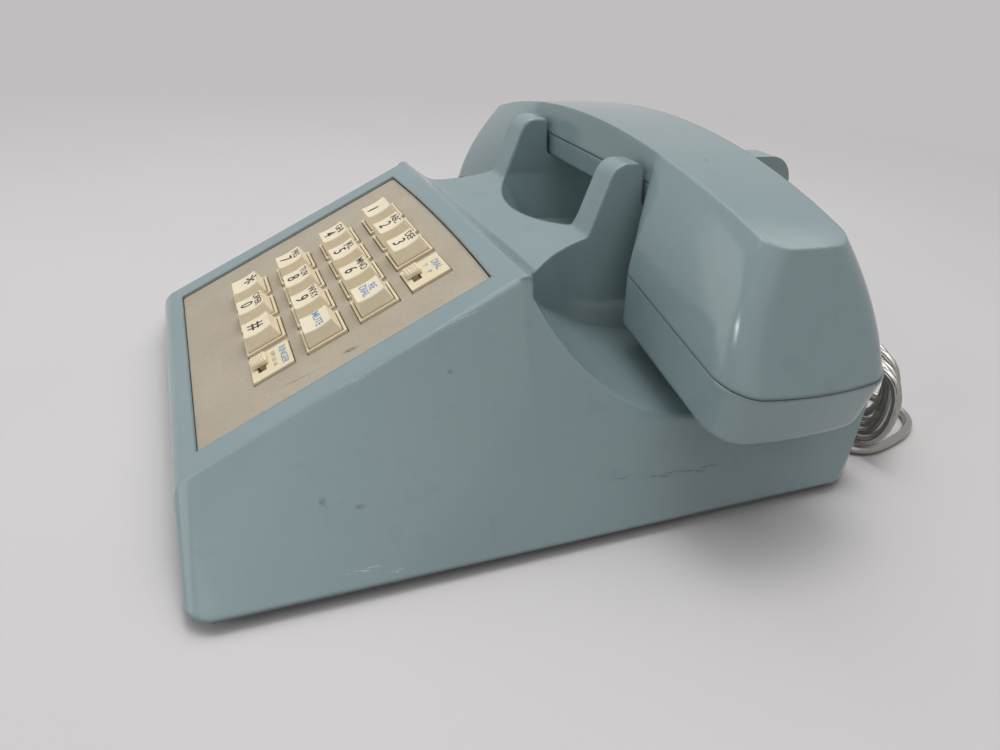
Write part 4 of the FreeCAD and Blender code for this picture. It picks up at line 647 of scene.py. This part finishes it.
# slide knobs: a low block with ridges along its travel, on its stem, in mm from the cell's middle
knob = {
    "u": -2.4,
    "v": -3.4,
    "width": 6.0,
    "length": 5.2,
    "low": 1.15,
    "top": 2.7,
    "ribs": 5,
    "ribPitch": 0.95,
    "ribWidth": 0.5,
    "ribHeight": 0.4,
    "ribInset": 0.6,
    "stem": (3.0, 2.4),
    "sunk": 0.2,
    "edge": 0.22,
    "edgeSteps": 2,
    "smoothAngle": 40,
}


def makeBlock(width, length, low, high, v):
    bpy.ops.mesh.primitive_cube_add(size=mm, location=(0, v * mm, (low + high) / 2 * mm))
    block = bpy.context.object
    block.scale = (width, length, high - low)
    bpy.ops.object.transform_apply(location=True, rotation=False, scale=True)
    return block


def makeKnobBlocks(lowest):
    blocks = [makeBlock(knob["width"], knob["length"], knob["low"], knob["top"], 0)]
    for i in range(knob["ribs"]):
        across = (i - (knob["ribs"] - 1) / 2) * knob["ribPitch"]
        blocks.append(makeBlock(knob["width"] - knob["ribInset"], knob["ribWidth"], knob["top"] - knob["sunk"],
                                knob["top"] + knob["ribHeight"], across))
    blocks.append(makeBlock(knob["stem"][0], knob["stem"][1], lowest, knob["low"] + knob["sunk"], 0))
    return blocks


def makeKnob(name, node, body, row):
    bpy.ops.object.select_all(action="DESELECT")
    u, v = cell(face["switchColumn"], row)
    seat = faceMatrix(u + knob["u"], v + knob["v"], 0)
    fromSeat = seat.inverted()
    lowest = min((fromSeat @ vertex.co).z for vertex in nodes[node].data.vertices) / mm  # the solid's own foot
    blocks = makeKnobBlocks(lowest)
    for block in blocks:
        block.select_set(True)
    piece = blocks[0]
    bpy.context.view_layer.objects.active = piece
    bpy.ops.object.join()
    piece.name = name
    bevel = piece.modifiers.new("edges", "BEVEL")
    bevel.width = knob["edge"] * mm
    bevel.segments = knob["edgeSteps"]
    bevel.limit_method = "ANGLE"
    bpy.ops.object.modifier_apply(modifier=bevel.name)
    bpy.ops.object.shade_smooth_by_angle(angle=math.radians(knob["smoothAngle"]))
    piece.data.transform(seat)
    piece.data.materials.clear()
    piece.data.materials.append(keyMaterial)
    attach(piece, body)
    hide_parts(node)


makeKnob("tone_ridged_knob", "tone_slider", "tone_knob", 3)
makeKnob("ringer_ridged_knob", "ringer_slider", "ringer_knob", 0)
print("slide knobs made")


# studio: a plain pale floor and soft lamps, in metres and watts
studio = {
    "floor": 60.0,
    "floorLight": "#d8d5d5",
    "floorDeep": "#d0cdcd",
    "cloud": 0.16,
    "farColour": "#c1bebf",
    "farFrom": 0.25,
    "farTo": 0.9,
    "worldColour": "#fbfbfd",
    "worldStrength": 0.2,
    "lamps": [  # name, place, aim, size, power
        ("overhead_softbox", (-0.25, 0.15, 1.30), (-0.05, 0.05, 0.0), 1.80, 12.5),
        ("ceiling_panel", (-0.10, 0.05, 1.20), (0.0, 0.0, 0.05), 0.45, 3.0),
        ("front_fill", (-0.30, -1.20, 0.55), (0.0, 0.0, 0.06), 0.90, 2.8),
        ("right_fill", (1.10, -0.45, 0.95), (0.05, 0.0, 0.06), 1.60, 2.2),
        ("glint_lamp", (0.45, -0.95, 0.62), (0.05, 0.0, 0.06), 0.12, 0.8),
    ],
}


# share of rays that see the background itself: by eye, in a gloss or through clear plastic
def addSeenShare(tree):
    seen = addNode(tree, "ShaderNodeLightPath", {}).outputs
    straight = addNode(tree, "ShaderNodeMath", {"operation": "ADD"},
                       {0: seen["Is Camera Ray"], 1: seen["Is Glossy Ray"]})
    through = addNode(tree, "ShaderNodeMath", {"operation": "ADD", "use_clamp": True},
                      {0: straight.outputs[0], 1: seen["Is Transmission Ray"]})
    return through.outputs[0]


# coated paper: pale, matt, so the object's shadow stays soft on it
def makeFloor():
    bpy.ops.object.select_all(action="DESELECT")
    bpy.ops.mesh.primitive_plane_add(size=studio["floor"])
    floor = bpy.context.object
    floor.name = "studio_floor"
    material, tree, surface, place = newMaterial("coated_paper_floor", {"Roughness": 0.75})
    cloud = addNode(tree, "ShaderNodeTexNoise", {"Scale": 1 / studio["cloud"], "Detail": 3.0},
                    {"Vector": place})
    tone = addNode(tree, "ShaderNodeMix", {"data_type": "RGBA", 6: linear(studio["floorDeep"]),
                                           7: linear(studio["floorLight"])}, {0: cloud.outputs[0]})
    tree.links.new(tone.outputs[2], surface.inputs["Base Color"])
    away = addNode(tree, "ShaderNodeVectorMath", {"operation": "LENGTH"}, {0: place})
    far = addNode(tree, "ShaderNodeMapRange", {"From Min": studio["farFrom"], "From Max": studio["farTo"]},
                  {"Value": away.outputs["Value"]})
    share = addNode(tree, "ShaderNodeMath", {"operation": "MULTIPLY"},
                    {0: far.outputs[0], 1: addSeenShare(tree)})
    glow = addNode(tree, "ShaderNodeEmission", {"Color": linear(studio["farColour"])})
    mixed = addNode(tree, "ShaderNodeMixShader", {},
                    {0: share.outputs[0], 1: surface.outputs[0], 2: glow.outputs[0]})
    output = [node for node in tree.nodes if node.type == "OUTPUT_MATERIAL"][0]
    tree.links.new(mixed.outputs[0], output.inputs["Surface"])
    floor.data.materials.append(material)


def makeLamps():
    for name, place, aim, size, power in studio["lamps"]:
        bpy.ops.object.light_add(type="AREA", location=place)
        lamp = bpy.context.object
        lamp.name = name
        lamp.data.size = size
        lamp.data.energy = power
        lamp.rotation_euler = (Vector(aim) - Vector(place)).to_track_quat("-Z", "Y").to_euler()


# the room's light, and beyond the floor the same pale colour as its far part
def makeWorld():
    world = bpy.data.worlds.new("studio_world")
    scene.world = world
    world.use_nodes = True
    tree = world.node_tree
    tree.nodes.clear()
    room = addNode(tree, "ShaderNodeBackground", {"Color": linear(studio["worldColour"]),
                                                  "Strength": studio["worldStrength"]})
    backdrop = addNode(tree, "ShaderNodeBackground", {"Color": linear(studio["farColour"])})
    mixed = addNode(tree, "ShaderNodeMixShader", {},
                    {0: addSeenShare(tree), 1: room.outputs[0], 2: backdrop.outputs[0]})
    addNode(tree, "ShaderNodeOutputWorld", {}, {"Surface": mixed.outputs[0]})


makeFloor()
makeLamps()
makeWorld()
print("studio lit")
